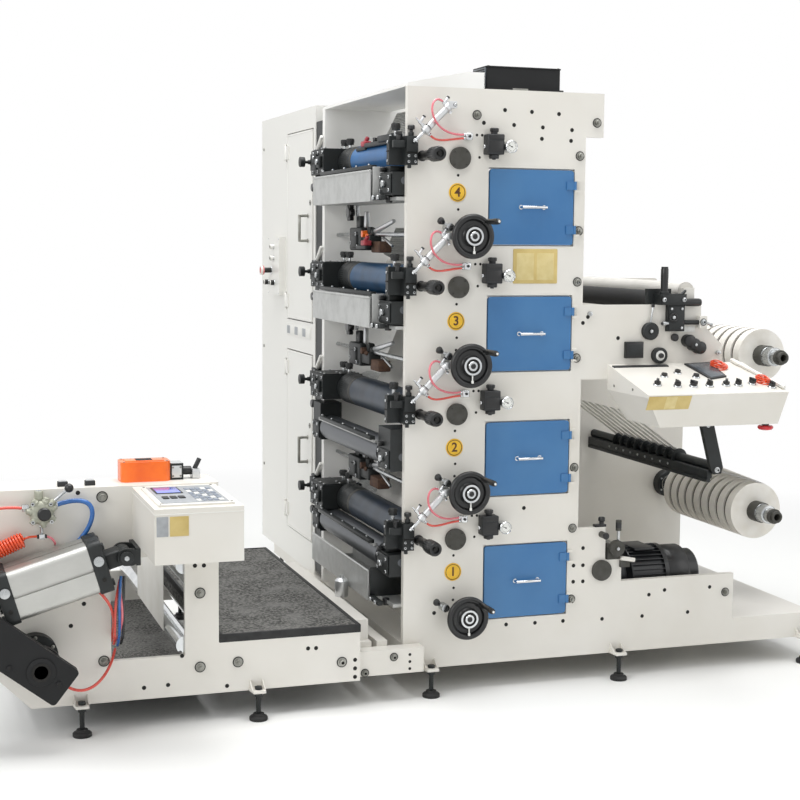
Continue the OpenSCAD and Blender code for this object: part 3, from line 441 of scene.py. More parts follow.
def smudged_sheet(name, base, smudge, rough):
    """Bright sheet under a film of dried wiping marks."""
    tree, shader, place = start(name)
    cloud = between(tree, grain(tree, place, 70, 6.0, rough=0.65), 0.42, 0.7)
    specks = between(tree, grain(tree, place, 9, 3.0), 0.62, 0.7)
    colour = blend(tree, cloud, base, smudge)
    tree.links.new(blend(tree, specks, colour, smudge), shader.inputs["Base Color"])
    tree.links.new(between(tree, cloud, 0, 1, rough - 0.1, rough + 0.2), shader.inputs["Roughness"])
    relief(tree, shader, grain(tree, place, 2, 2.0), 0.04)
    shader.inputs["Metallic"].default_value = 0.55


def speckled_mat():
    """Studded rubber mat, moulded from crumb: charcoal flecked with grey, scuffed pale by feet."""
    tree, shader, place = start("crumb_rubber_mat")
    crumbs = grain(tree, place, 11, 3.0, rough=0.7)
    scuffs = between(tree, grain(tree, place, 160, 5.0, rough=0.7), 0.45, 0.75)
    base = blend(tree, between(tree, crumbs, 0.44, 0.58), "#2A2A28", "#74736F")
    tree.links.new(blend(tree, scuffs, base, "#7A7976"), shader.inputs["Base Color"])
    shader.inputs["Roughness"].default_value = 0.85
    relief(tree, shader, crumbs, 1.2, 0.6)


def wound_paper():
    """Slit label stock wound on cores: cream, with the faint rings of its turns on the ends."""
    tree, shader, place = start("wound_paper")
    across = node(tree, "ShaderNodeTexNoise", values={"Scale": 1 / (2.4 * MM), "Detail": 2.0})
    mapped = node(tree, "ShaderNodeMapping", values={"Scale": (0.04, 1, 0.04)}, links={"Vector": place})
    tree.links.new(mapped.outputs["Vector"], across.inputs["Vector"])
    lines = between(tree, across.outputs["Fac"], 0.3, 0.7)
    tree.links.new(blend(tree, lines, "#F3F0E9", "#E6E1D7"), shader.inputs["Base Color"])
    shader.inputs["Roughness"].default_value = 0.7
    relief(tree, shader, across.outputs["Fac"], 0.15)


def web_paper():
    """The running web: smooth coated paper, nearly white."""
    tree, shader, place = start("web_paper")
    cloud = between(tree, grain(tree, place, 120, 3.0), 0.3, 0.7)
    tree.links.new(blend(tree, cloud, "#F1EFE9", "#E6E3DB"), shader.inputs["Base Color"])
    shader.inputs["Roughness"].default_value = 0.55
    relief(tree, shader, grain(tree, place, 2, 2.0), 0.02)


def roller_paper():
    """Paper on the web rollers: the running web seen from its printed side, a shade greyer."""
    coated("roller_paper", "#D5D2CC", "#C9C6BF", 0.6, blotch=120, peel=1.5, depth=0.02)


NODE_FINISH = {
    "stove_enamel": ("base_frame", "base_deck", "front_panel", "rewind_back_plate", "control_desk",
                     "unwind_front_plate", "unwind_rear_plate", "operator_box"),
    "cabinet_enamel": ("electric_cabinet", "cabinet_door_upper", "cabinet_door_lower", "switch_strip"),
    "white_coil_sheet": ("top_cover", "rear_panel"),
    "blue_stove_enamel": ("access_door_1", "access_door_2", "access_door_3", "access_door_4"),
    "oxide_blackened_casting": ("operator_bearings", "drive_bearings", "drive_case", "mount_brackets",
                                "slitter_bar"),
    "phosphated_steel": ("bearing_caps",),
    "black_powder_coat": ("blower_box", "lift_arms"),
    "moulded_phenolic": ("panel_grips", "handwheel_1", "handwheel_2", "handwheel_3", "handwheel_4",
                         "desk_controls", "pressure_regulators"),
    "ground_steel": ("cross_bars", "impression_rollers", "upper_rewind_shaft", "lower_rewind_shaft",
                     "lift_rod"),
    "chromed_steel": ("unwind_rollers",),
    "anodised_aluminium": ("air_cylinders", "lift_barrel", "air_manifold"),
    "wiped_stainless_sheet": ("ink_trays",),
    "hood_sheet": ("dryer_hoods",),
    "blue_roller_rubber": ("plate_roller_4",),
    "inked_roller_rubber": ("plate_roller_3",),
    "dark_roller_rubber": ("plate_roller_1", "plate_roller_2"),
    "engraved_steel": ("anilox_rollers",),
    "nip_rubber": ("nip_roller",),
    "foot_rubber": ("levelling_feet",),
    "motor_lacquer": ("drive_motor",),
    "orange_abs": ("guide_motor",),
    "web_paper": ("paper_web",),
    "roller_paper": ("web_rollers",),
    "wound_paper": ("upper_reels", "lower_reels"),
    "crumb_rubber_mat": ("platform",),
    "red_pu_tube": ("air_tubes",),
    "orange_pu_tube": ("air_coil",),
}


def finish_nodes():
    """Puts each node's material on it."""
    for material, names in NODE_FINISH.items():
        for name in names:
            slots = NODES[name].data.materials
            slots.clear()
            slots.append(bpy.data.materials[material])
            NODES[name].data.polygons.foreach_set("material_index", [0] * len(NODES[name].data.polygons))


# ---------------------------------------------------------------- tower

PLATE_BOLTS = ((262, 2108), (735, 2095), (669, 1973), (670, 1700), (668, 1513), (671, 1231), (671, 820),
               (669, 590), (669, 318), (1331, 302))
PLATE_HOLES = ((370, 2129), (475, 2126), (582, 2122), (289, 2081), (406, 2077), (519, 2072), (635, 2066),
               (516, 2031), (632, 2027), (677, 446), (716, 445), (677, 384), (717, 383), (715, 511),
               (406, 239), (523, 237), (638, 236), (801, 232), (120, 303), (998, 313), (1065, 327),
               (1262, 326), (971, 231), (1168, 233), (695, 1361), (715, 1383), (841, 1303), (470, 676))
STATION_HOLES = ((193, 513), (195, 392), (193, 347), (263, 657), (283, 657), (274, 578))
DOOR_MIDDLE, HANDLE_Z = 482, 403.5
ROLLER_CAP, BADGE = (198, 574), (191, 452)
WHEEL_X, WHEEL_Z, CRANK_R = 221, 296, 68
GRIP_X, GRIP_Z, LOCK_X, LOCK_Z = 56, 578, 150, 328
REGULATOR_X, REGULATOR_Y, REGULATOR_Z, GAUGE_X = 320, -24, 616, 375


def dress_panel():
    """Bolts, tapped holes, roller cap screws, number discs and the blank rating plate."""
    made = Made("front_plate_screws", "root", "zinc_plated_steel", "hole_shadow")
    for x, z in PLATE_BOLTS:
        cap_screw(made, x, 0, z, -Y, 10, 12)
        made.bar(0, at(x, -12, z, -Y), 6, 10, 1.5, 12)
    for x, z in PLATE_HOLES:
        bore(made, x, 0, z, -Y, 6)
    for k in STATIONS:
        up = k * PITCH
        for x, z in STATION_HOLES:
            if (k, z) != (3, 347):
                bore(made, x, 0, z + up, -Y, 4)
    made.down()

    made = Made("roller_cap_screws", "root", "phosphated_steel", "hole_shadow")
    for k in STATIONS:
        for dx, dz in ring(4, 31.5, 45):
            x, z = ROLLER_CAP[0] + dx, ROLLER_CAP[1] + k * PITCH + dz
            made.bar(0, at(x, -12, z, -Y), 3.6, 2, 0.6, 12)
            # Dark hexagon: painted shade in the screw's socket
            made.bar(1, at(x, -14, z, -Y), 1.8, 0.4, sides=6)
    made.down()

    made = Made("station_badges", "root", "yellow_enamel", "brown_fill")
    for k in STATIONS:
        x, z = BADGE[0], BADGE[1] + k * PITCH
        made.bar(0, at(x, 0, z, -Y), 33, 2.5, 1.0, 48)
        made.put(lathe([(26.5, 2.4), (26.5, 2.9), (29, 2.9), (29, 2.4)], 48), 1, at(x, 0, z, -Y))
        made.put(digit(str(k + 1), 42, 0.6), 1,
                 shift((x, -2.4, z)) @ turned(90, "X"))
    made.down()

    made = Made("rating_plate", "root", "brass_label", "label_tint")
    made.put(prism(round_corners((410, 586), (1507, 1633), 4), 1.5, 0.4), 0,
             turned(90, "X"))
    for x in (424, 504):
        made.put(slab((x, x + 68), (-1.9, -1.4), (1520, 1618), 0.2), 1)
    made.down()


def digit(text, height, depth):
    """A plain number, raised."""
    font = bpy.data.curves.new("number", "FONT")
    font.body = text
    font.size = height * 1.1
    font.extrude = depth / 2
    font.offset = 1.1
    font.align_x = "CENTER"
    font.align_y = "CENTER"
    holder = bpy.data.objects.new("number", font)
    bpy.context.scene.collection.objects.link(holder)
    bpy.context.view_layer.update()
    mesh = bpy.data.meshes.new_from_object(holder.evaluated_get(bpy.context.evaluated_depsgraph_get()))
    bpy.data.objects.remove(holder)
    bm = bmesh.new()
    bm.from_mesh(mesh)
    bpy.data.meshes.remove(mesh)
    bmesh.ops.remove_doubles(bm, verts=bm.verts, dist=0.001)
    return bm


def dress_doors():
    """Handles on the doors, and pale strips round their openings: a painted highlight along the edges of the
    door gaps.
    """
    for k in STATIONS:
        up = k * PITCH
        name = f"access_door_{k + 1}"
        made = Made(f"door_handle_{k + 1}", name, "chromed_steel", "hole_shadow")
        made.bar(0, at(DOOR_MIDDLE - 50, -26, HANDLE_Z + up, X), 5.4, 100, 2.2, 24)
        for x in (-45, 45):
            made.bar(0, at(DOOR_MIDDLE + x, -3, HANDLE_Z + up, -Y), 5, 23, 0.5, 20)
            made.bar(0, at(DOOR_MIDDLE + x, -3, HANDLE_Z + up, -Y), 8.5, 2, 0.8, 24)
        made.down()
        # Pale strips in the edges of the opening, brighter than the plate: a painted highlight along the gap
        rim = Made(f"door_gap_highlight_{k + 1}", "root", "white_coil_sheet")
        for x, z in (((309.8, 314.6), (263.2, 543.8)), ((645.4, 650.2), (263.2, 543.8)),
                     ((309.8, 650.2), (263.2, 267.6)), ((309.8, 650.2), (539.4, 543.8))):
            rim.put(slab(x, (13, 22), (z[0] + up, z[1] + up), 0.8))
        rim.down()


def dress_handwheels():
    """Rims, dials, crank grips and shafts of the register handwheels."""
    for k in STATIONS:
        z = WHEEL_Z + k * PITCH
        here = at(WHEEL_X, 0, z, -Y)
        made = Made(f"register_handwheel_{k + 1}", f"handwheel_{k + 1}", "moulded_phenolic", "chromed_steel",
                    "white_dial", "hole_shadow")
        # Hub, sloping web and a broad round rim, as one turned and moulded profile
        rim = [(80 - 11 + 11 * math.cos(a), 83 + 11 * math.sin(a))
               for a in (math.radians(d) for d in range(-150, 171, 20))]
        made.put(lathe([(10.2, 62), (26, 62), (28, 66), (30, 74), (52, 76)] + rim
                       + [(52, 88), (40, 86), (36, 90), (34, 94), (10.2, 94)], 64), 0, here)
        # Dial ring, its inner ring and its pointer, with a dark ring of painted shade in the groove between
        # the rings
        made.put(lathe([(25, 94), (25, 101), (26, 102.6), (33, 102.6), (34, 101), (34, 92)], 48), 1, here)
        made.put(lathe([(17, 99), (17, 99.6), (25, 99.6), (25, 99)], 48), 3, here)
        made.put(lathe([(9, 99), (9, 103), (10, 104), (16, 104), (17, 103), (17, 99)], 40), 1, here)
        made.put(lathe([(0, 98), (0, 106.8), (7.5, 106.8), (9, 105), (9, 98)], 32), 0, here)
        made.put(slab((-2.2, 2.2), (-60, -33), (94, 98), 0.8), 2, here)
        made.put(slab((-4.2, 4.2), (-62, -52), (94, 99), 1), 2, here)
        # Crank grip
        turn = math.radians(50)
        gx, gz = WHEEL_X + CRANK_R * math.cos(turn), z + CRANK_R * math.sin(turn)
        made.put(lathe([(0, 83), (5, 83), (5, 111), (8.6, 113), (10.6, 120), (9.6, 140), (10.8, 180),
                        (10.8, 205), (9, 215), (6, 219), (0, 220)], 28), 0, at(gx, 0, gz, -Y))
        made.bar(2, at(gx, -219.8, gz, -Y), 4.4, 0.8, 0.3, 16)
        made.bar(1, at(WHEEL_X, 25, z, -Y), 10, 118, 1, 24)
        made.down(replaces=[f"handwheel_{k + 1}"])


def dress_grips():
    """Impression grips with ribbed heads, and the lock levers beside the handwheels."""
    made = Made("impression_grips", "root", "moulded_phenolic", "ground_steel", "hole_shadow")
    for k in STATIONS:
        z = GRIP_Z + k * PITCH
        # Ribbed sleeve, necked behind its head, with a dark hexagon of painted shade in the recess at its end
        sleeve = lathe([(0, 0), (19, 0), (19, 5), (14.5, 8), (14.5, 40), (17.5, 46), (17.5, 104), (21, 110),
                        (25, 115), (25, 180), (22, 186), (14, 186), (13, 176), (0, 176)], 40)
        made.put(sleeve, 0, at(GRIP_X, 0, z, -Y))
        made.bar(2, at(GRIP_X, -175, z, -Y), 8, 8, 1, 6)
        made.each([(GRIP_X + dx, -118, z + dz) for dx, dz in ring(20, 24.6)], 0, -Y, 1.6, 58, 0.5, 6)
        # Lock lever with a pear-shaped knob, on its boss
        lean = math.radians(56)
        lock = at(LOCK_X, -34, LOCK_Z + k * PITCH, (-math.sin(lean), 0, math.cos(lean)))
        made.bar(1, at(LOCK_X, 0, LOCK_Z + k * PITCH, -Y), 15, 44, 1.5, 28)
        made.bar(1, lock, 5, 30, 0.5, 16)
        made.put(lathe([(0, 24), (5, 24), (8, 28), (13, 38), (13.5, 43), (11, 48), (6, 51), (0, 52)], 28), 0,
                 lock)
    made.down(replaces=["panel_grips"])


def dress_regulators():
    """Pressure regulators with ribbed knobs, and their gauges."""
    made = Made("air_regulators", "root", "black_abs", "white_dial", "chromed_steel", "hole_shadow",
                "moulded_phenolic")
    for k in STATIONS:
        x, y, z = REGULATOR_X, REGULATOR_Y, REGULATOR_Z + k * PITCH
        made.put(slab((288, 352), (-47, 0), (z - 28, z + 44), 4, 3), 0)
        made.put(slab((293, 347), (-48.6, -46), (z - 20, z + 20), 1.2), 4)
        made.put(slab((293, 347), (-48.6, -46), (z + 25, z + 40), 1.2), 4)
        made.bar(0, at(x, y, z - 28, -Z), 18, 14, 2, 32)
        made.bar(4, at(x, y, z - 41, -Z), 7, 5, 1, 16)
        made.bar(0, at(x, y, z + 44), 12, 9, 1, 32)
        made.put(lathe([(0, 0), (14, 0), (15, 2), (15, 12), (13, 14), (0, 14)], 32), 4, at(x, y, z + 52))
        made.each([(x + dx, y + dy, z + 53.5) for dx, dy in ring(14, 14.7)], 4, Z, 1.4, 11, 0.4, 6)
        made.put(slab((352, 366), (-36, -12), (z - 10, z + 10), 2), 0)
        # Gauge: steel bezel, dial with ticks and a needle
        face = at(GAUGE_X, 0, z, -Y)
        made.put(lathe([(0, 12), (18, 12), (21, 16), (21.4, 50), (23, 52), (23, 58), (21, 60), (19.5, 58)],
                       40),
                 2, face)
        made.bar(1, at(GAUGE_X, -56, z, -Y), 20, 1.5, sides=40)
        for i in range(13):
            a = math.radians(-45 + 22.5 * i)
            tick = shift((GAUGE_X, -57.6, z)) @ Matrix.Rotation(a, 4, "Y")
            made.put(slab((13.5, 17.5), (-0.2, 0.2), (-0.6, 0.6)), 3, tick)
        made.put(slab((-4, 13), (-0.3, 0.3), (-0.9, 0.9)), 3,
                 shift((GAUGE_X, -58.2, z)) @ turned(205, "Y"))
        made.bar(3, at(GAUGE_X, -57.6, z, -Y), 2.6, 1, 0.3, 12)
        # Push-in fitting to the left
        made.bar(2, at(289, y, z, -X), 7, 9, 1, 20)
    made.down(replaces=["pressure_regulators"])


def dress_cylinders():
    """Throw-off cylinders with their flow controls and their blocks."""
    made = Made("throw_off_cylinders", "root", "anodised_aluminium", "chromed_steel", "black_abs",
                "hole_shadow")
    for k in STATIONS:
        foot = shift((10, -40, 622 + k * PITCH)) @ turned(45, "Y")
        made.bar(1, foot, 6, 56, 0.5, 20)
        made.bar(1, foot @ shift((0, 0, 4)), 10, 8, 1, 6)
        made.put(lathe([(6.2, 50), (9, 50), (9, 52), (15, 53), (16, 55), (16, 70), (14.5, 72), (13, 74),
                        (13, 167), (14.5, 168), (16, 170), (16, 187), (14, 190), (0, 190)], 36), 0, foot)
        made.put(lathe([(13.1, 75), (13.5, 75), (13.5, 78), (13.1, 78)], 36), 3, foot)
        # Flow controls at the two ports: banjo, screw and push-in sleeve
        for along, side, far in ((62, 1, 26), (178, -1, 26), (66, -1, 40), (172, 1, 24)):
            port = foot @ shift((0, 0, along)) @ turned(90 * side, "Y")
            made.bar(0 if side > 0 else 1, port, 6, far, 0.8, 16)
            made.bar(1, port @ shift((0, 0, 17)), 7.4, 6, 0.8, 6)
            if side < 0:
                made.bar(1, port @ shift((0, 0, far - 1)), 3.4, 16, 0.8, 12)
                made.bar(0, port @ at(0, 0, far - 7, (1, 0, 0.2)), 5, 24, 0.8, 12)
                made.bar(2, port @ at(22, 0, far - 3, (1, 0, 0.2)), 6.2, 6, 1, 16)
        made.put(slab((134, 166), (-56, 0), (744 + k * PITCH, 768 + k * PITCH), 2), 0)
        cap_screw(made, 158, -56, 756 + k * PITCH, -Y, 4, 4, 1, 3)
    made.down(replaces=["air_cylinders"])


# ---------------------------------------------------------------- print stations

# How far each station's transfer roller is lowered, and which stations have a tray and how low it hangs
INK_DROP = (0, 72, 0, 0)
TRAYS = {0: 95, 2: 0, 3: 0}


def star_knob(made, place, r, high, slot=0):
    """Moulded knob with finger scallops."""
    made.put(lathe([(0, 0), (r * 0.55, 0), (r * 0.6, high * 0.25), (r, high * 0.4), (r, high * 0.85),
                    (r * 0.8, high), (0, high)], 32), slot, place)
    made.each([(x, y, high * 0.38) for x, y in ring(8, r * 0.93)], slot, Z, r * 0.2, high * 0.5, 0.8, 8,
              here=place)


def dress_bearings():
    """What stands on the roller bearings of both sides: caps, screws, knobs and brackets."""
    made = Made("operator_bearing_fittings", "root", "oxide_blackened_casting", "ground_steel",
                "moulded_phenolic", "hole_shadow")
    for k in STATIONS:
        up = k * PITCH
        # Clamp block in front of the plate: cap, split line, screws and the throw-off stub
        made.put(slab((-12, 31), (-31, -25), (590 + up, 645 + up), 2.5), 0)
        made.put(slab((-12.4, 31.4), (-25.6, -24), (585 + up, 589 + up), 0.5), 3)
        for x, z in ((-3, 556), (22, 556), (-3, 576), (22, 576)):
            socket_screw(made, x, -25, z + up, -Y, 5, 5, 2.4)
        made.put(slab((-58, -10), (-22, -2), (604 + up, 630 + up), 3), 0)
        made.bar(2, at(-36, -12, 630 + up), 8, 22, 1.5, 20)
        made.bar(2, at(-36, -12, 650 + up), 13, 10, 2, 8)
        made.bar(0, at(10, -12, 645 + up), 10, 14, 1.5, 6)
        made.put(lathe([(0, 14), (6, 14), (6, 22), (13, 25), (13, 36), (10, 39), (0, 39)], 24), 2,
                 at(10, -12, 645 + up))
        made.bar(0, at(2, -18, 545 + up, -Z), 7, 12, 1.5, 20)
        # Block behind the plate
        star_knob(made, at(-30, 39, 667 + up), 15.5, 25.5, 2)
        made.bar(1, at(-30, 39, 646 + up), 6.6, 22, 0.6, 16)
        made.each([(x, 39, 646 + up) for x in (-50, 8, 96)], 1, Z, 4.5, 5, 0.8, 12)
        made.put(slab((-62, -59), (28, 51), (592 + up, 596 + up), 0.6), 3)
        made.each([(-59, 39, z + up) for z in (560, 626)], 1, -X, 5, 4, 0.8, 12)
        # Bracket of the transfer roller: bolted cheek and adjusting screws
        low = up - INK_DROP[k]
        made.put(slab((-52, -46), (32, 158), (446 + low, 516 + low), 3), 0)
        for y, z in ((45, 458), (145, 458), (45, 504), (145, 504)):
            made.bar(1, at(-52, y, z + low, -X), 7, 5, 1, 12)
            # Dark hexagon: painted shade in the screw's socket
            made.bar(3, at(-57, y, z + low, -X), 3.4, 0.4, sides=6)
        made.bar(1, at(-52, 95, 481 + low, -X), 13, 14, 2, 28)
        made.put(slab((-40, 20), (70, 150), (522 + low, 545 + low), 4), 0)
        made.bar(2, at(-40, 110, 533 + low, -X), 9, 26, 1.5, 20)
    made.down()

    made = Made("drive_bearing_fittings", "root", "oxide_blackened_casting", "ground_steel",
                "moulded_phenolic", "hole_shadow", "cabinet_enamel")
    for k in STATIONS:
        up = k * PITCH
        # Face towards the unwinder: split line, cap screws, an oil cup and two raised pads
        made.put(slab((-61, -59), (884, 1064), (592 + up, 596 + up), 0.6), 3)
        for y, z in ((892, 558), (892, 634), (958, 558), (958, 634), (1030, 558), (1030, 634)):
            socket_screw(made, -59, y, z + up, -X, 6.5, 5, 3.2)
        made.put(slab((-72, -59), (905, 947), (572 + up, 620 + up), 4), 0)
        made.bar(1, at(-72, 926, 596 + up, -X), 12, 8, 1.5, 24)
        made.put(slab((-68, -59), (968, 1016), (568 + up, 586 + up), 3), 0)
        made.put(slab((-68, -59), (968, 1016), (602 + up, 632 + up), 3), 0)
        made.bar(1, at(-68, 992, 617 + up, -X), 7, 7, 1, 12)
        for y in (905, 985):
            star_knob(made, at(62, y, 667 + up), 15.5, 25.5, 2)
            made.bar(1, at(62, y, 646 + up), 6.6, 22, 0.6, 16)
        made.put(slab((-56, 100), (886, 1062), (646 + up, 650 + up), 2), 0)
        made.each([(x, y, 650 + up) for x in (-48, 20, 96) for y in (893, 945, 1050)], 1, Z, 5, 4, 0.8, 12)
        # Cheek of the transfer roller bracket
        low = up - INK_DROP[k]
        made.put(slab((-52, -46), (966, 1060), (446 + low, 516 + low), 3), 0)
        made.each([(-52, y, z + low) for y in (980, 1046) for z in (460, 504)], 1, -X, 7, 5, 1, 12)
        made.put(slab((-44, 30), (962, 1060), (522 + low, 546 + low), 4), 0)
        # Throw-off knob beside the case, its block, spindle and swept lock handle
        made.put(lathe([(0, 66), (19, 66), (21, 69), (21, 82), (18, 86), (0, 86)], 32), 2,
                 at(0, 1154, 606 + up, -X))
        made.put(lathe([(6, 30), (16, 30), (16, 38), (9, 41), (9, 50), (6, 50)], 28), 0,
                 at(0, 1154, 606 + up, -X))
        made.put(slab((-26, 2), (1130, 1182), (640 + up, 654 + up), 4), 0)
        made.bar(4, at(-12, 1140, 652 + up, (0, -0.75, 0.66)), 10, 88, 3, 16, 8)
        made.put(lathe([(0, 18), (16, 18), (17.5, 21), (17.5, 30), (15, 34), (0, 34)], 28), 2,
                 at(0, 1154, 500 + up, -X))
    made.down()

    # Dark gear and bearer at the drive end of each plate roller
    for k in STATIONS:
        made = Made(f"plate_roller_gear_{k + 1}", f"plate_roller_{k + 1}", "oxide_blackened_casting",
                    "phosphated_steel")
        here = at(62, 0, 592 + k * PITCH, Y)
        made.put(lathe([(60.6, 700), (61.6, 700.6), (61.6, 729), (61.1, 730)], 64), 1, here)
        made.put(lathe([(60.6, 732), (61.7, 733), (61.7, 871), (61.1, 872.6)], 64), 0, here)
        for i in range(48):
            turn = Matrix.Rotation(2 * math.pi * i / 48, 4, "Z")
            made.put(slab((61, 62.2), (-1.9, 1.9), (806, 866), 0.4), 0, here @ turn)
        made.down()


def dress_inking():
    """What the transfer rollers carry: doctor blades, pan ends, and the side-lay clamps over the web."""
    made = Made("doctor_blades", "root", "oxide_blackened_casting", "ground_steel", "moulded_phenolic",
                "wiped_stainless_sheet", "hole_shadow")
    for k in STATIONS:
        up = k * PITCH - INK_DROP[k]
        made.put(slab((-76, -54), (180, 872), (538 + up, 552 + up), 2.5), 0)
        made.put(slab((-58, -44), (182, 944), (526 + up, 538 + up), 1), 3)
        made.each([(-65, y, 552 + up) for y in (240, 400, 560, 720, 860)], 1, Z, 5, 6, 1, 12)
        # Fountain roller behind the blade, turned dark by ink
        made.bar(0, at(72, 186, 470 + up, Y), 24, 752, 3, 32)
        # Pan ends hung on the brackets
        if k in TRAYS:
            low = k * PITCH - TRAYS[k]
            made.put(slab((-74, 60), (166, 172), (434 + low, 545 + low), 2), 3 if k else 0)
            made.put(slab((-78, -56), (60, 166), (424 + low, 440 + low), 3), 0)
            made.each([(-78, y, 432 + low) for y in (84, 140)], 1, -X, 9, 7, 1.5, 20)
            # Rolled lip of the tray and its drain
            made.bar(3, at(-80, 174, 530 + low, Y), 5, 777, 1, 16)
            made.bar(2, at(-30, 110, 440 + low, -Z), 13, 26, 3, 20)
    made.down()

    # Between the stations: a cross rod, the side-lay block on it, its star knob and its arm
    made = Made("side_lay_clamps", "root", "oxide_blackened_casting", "ground_steel", "moulded_phenolic",
                "orange_abs", "hole_shadow", "anodised_aluminium", "rust_brown", "valve_red")
    for k in (1, 2, 3):
        z = k * PITCH
        made.bar(1, at(60, 25, z + 302, Y), 8, 1043, 0.5, 20)
        made.put(slab((30, 94), (650, 806), (z + 240, z + 330), 7, 3), 0)
        made.put(slab((22, 62), (690, 760), (z + 250, z + 300), 5), 0)
        made.put(slab((36, 86), (548, 654), (z + 254, z + 300), 5), 0)
        made.put(slab((44, 96), (452, 560), (z + 232, z + 276), 6), 6)
        made.put(slab((46, 74), (712, 764), (z + 326, z + 376), 4), 0)
        made.put(slab((50, 66), (650, 674), (z + 328, z + 392), 3), 5)
        made.bar(0, at(58, 610, z + 298), 13, 34, 2, 24)
        star_knob(made, at(44, 790, z + 390, -X), 27, 28, 2)
        made.each([(20, 790 + dy, z + 390 + dz) for dy, dz in ring(6, 27)], 2, X, 9, 18, 2, 12)
        made.bar(1, at(60, 790, z + 376, Z), 7, 60, 1, 16)
        for y, h in ((700, 20), (770, -16), (680, -30)):
            made.bar(1, at(30, y, z + 285 + h, -X), 8, 8, 1, 16)
            # Dark hexagon: painted shade in the screw's socket
            made.bar(4, at(22, y, z + 285 + h, -X), 4, 0.6, sides=6)
        # Pale arm, ball joint and its hand lever
        made.bar(5, at(60, 560, z + 312, (0, -0.985, 0.17)), 11, 240, 3, 18, 8)
        made.put(ball(17, 20), 0, shift((60, 556, z + 310)))
        made.put(lathe([(0, 0), (13, 0), (15, 8), (13, 32), (0, 34)], 24), 3 if k == 3 else 6,
                 at(58, 622, z + 304, -X))
        made.put(lathe([(0, 0), (8, 0), (9, 8), (8, 26), (0, 28)], 20), 3 if k == 3 else 6,
                 at(50, 586, z + 290, (-0.7, -0.5, 0.3)))
        made.bar(1, at(66, 470, z + 290, (0, -0.96, -0.25)), 6, 120, 1, 14)
    # Guide sensors of the lower stations and the oil can under the lowered tray
    for y, z in ((595, 1021), (586, 588)):
        made.put(slab((38, 82), (y - 34, y + 34), (z - 20, z + 18), 4), 5)
        made.bar(1, at(38, y, z, -X), 8, 22, 1, 16)
        made.put(slab((52, 68), (y - 10, y + 10), (z + 16, z + 60), 2), 0)
    made.put(lathe([(0, 0), (24, 0), (26, 3), (26, 62), (20, 70), (9, 74), (9, 84), (0, 85)], 28), 5,
             at(-112, 412, 288))
    # Red valves of the two upper stations, on their brackets over the plate rollers
    for y, z in ((548, 2020), (540, 1640)):
        made.put(slab((2, 34), (y - 26, y + 24), (z - 2, z + 20), 6, 3), 7)
        made.bar(7, at(16, y + 6, z + 14, (0.3, -0.5, 0.8)), 8, 26, 3, 16)
        made.put(slab((4, 30), (y - 30, y + 90), (z - 16, z), 4), 0)
    made.put(slab((0, 28), (150, 520), (2012, 2030), 4), 0)
    made.put(slab((-8, 34), (150, 330), (2022, 2046), 5), 0)
    made.each([(14, y, 2028) for y in (190, 290, 420)], 2, Z, 9, 18, 2, 16)
    made.down()


def dress_hoods():
    """Slotted faces and open ends of the hot air hoods, with painted shade: a grey sheet behind the slots and
    a dark sheet in each open end.
    """
    made = Made("hood_fronts", "root", "hood_sheet", "louvre_grey", "zinc_plated_steel", "hole_shadow")
    for k in STATIONS:
        here = shift((172, 25, 684 + k * PITCH)) @ turned(27, "Y")
        # Grey sheet behind the louvres: painted shade
        made.put(slab((-0.6, 0.3), (8, 757), (5, 113), 0.1), 1, here)
        for z in ((0, 7), (111, 118)):
            made.put(slab((-4, 0), (2, 763), z, 1.2), 0, here)
        for y in ((2, 12), (753, 763)):
            made.put(slab((-4, 0), y, (5, 113), 1.2), 0, here)
        for i in range(12):
            made.put(slab((-3.4, 0), (10, 755), (8 + i * 8.6, 14 + i * 8.6), 1), 0, here)
        # Dark sheet in the open end: painted shade
        made.put(slab((6, 54), (764, 767), (8, 110), 1), 3, here)
        made.bar(2, here @ at(30, 765, 60, Y), 20, 26, 1.5, 28)
    made.down()


# ---------------------------------------------------------------- cabinet and head

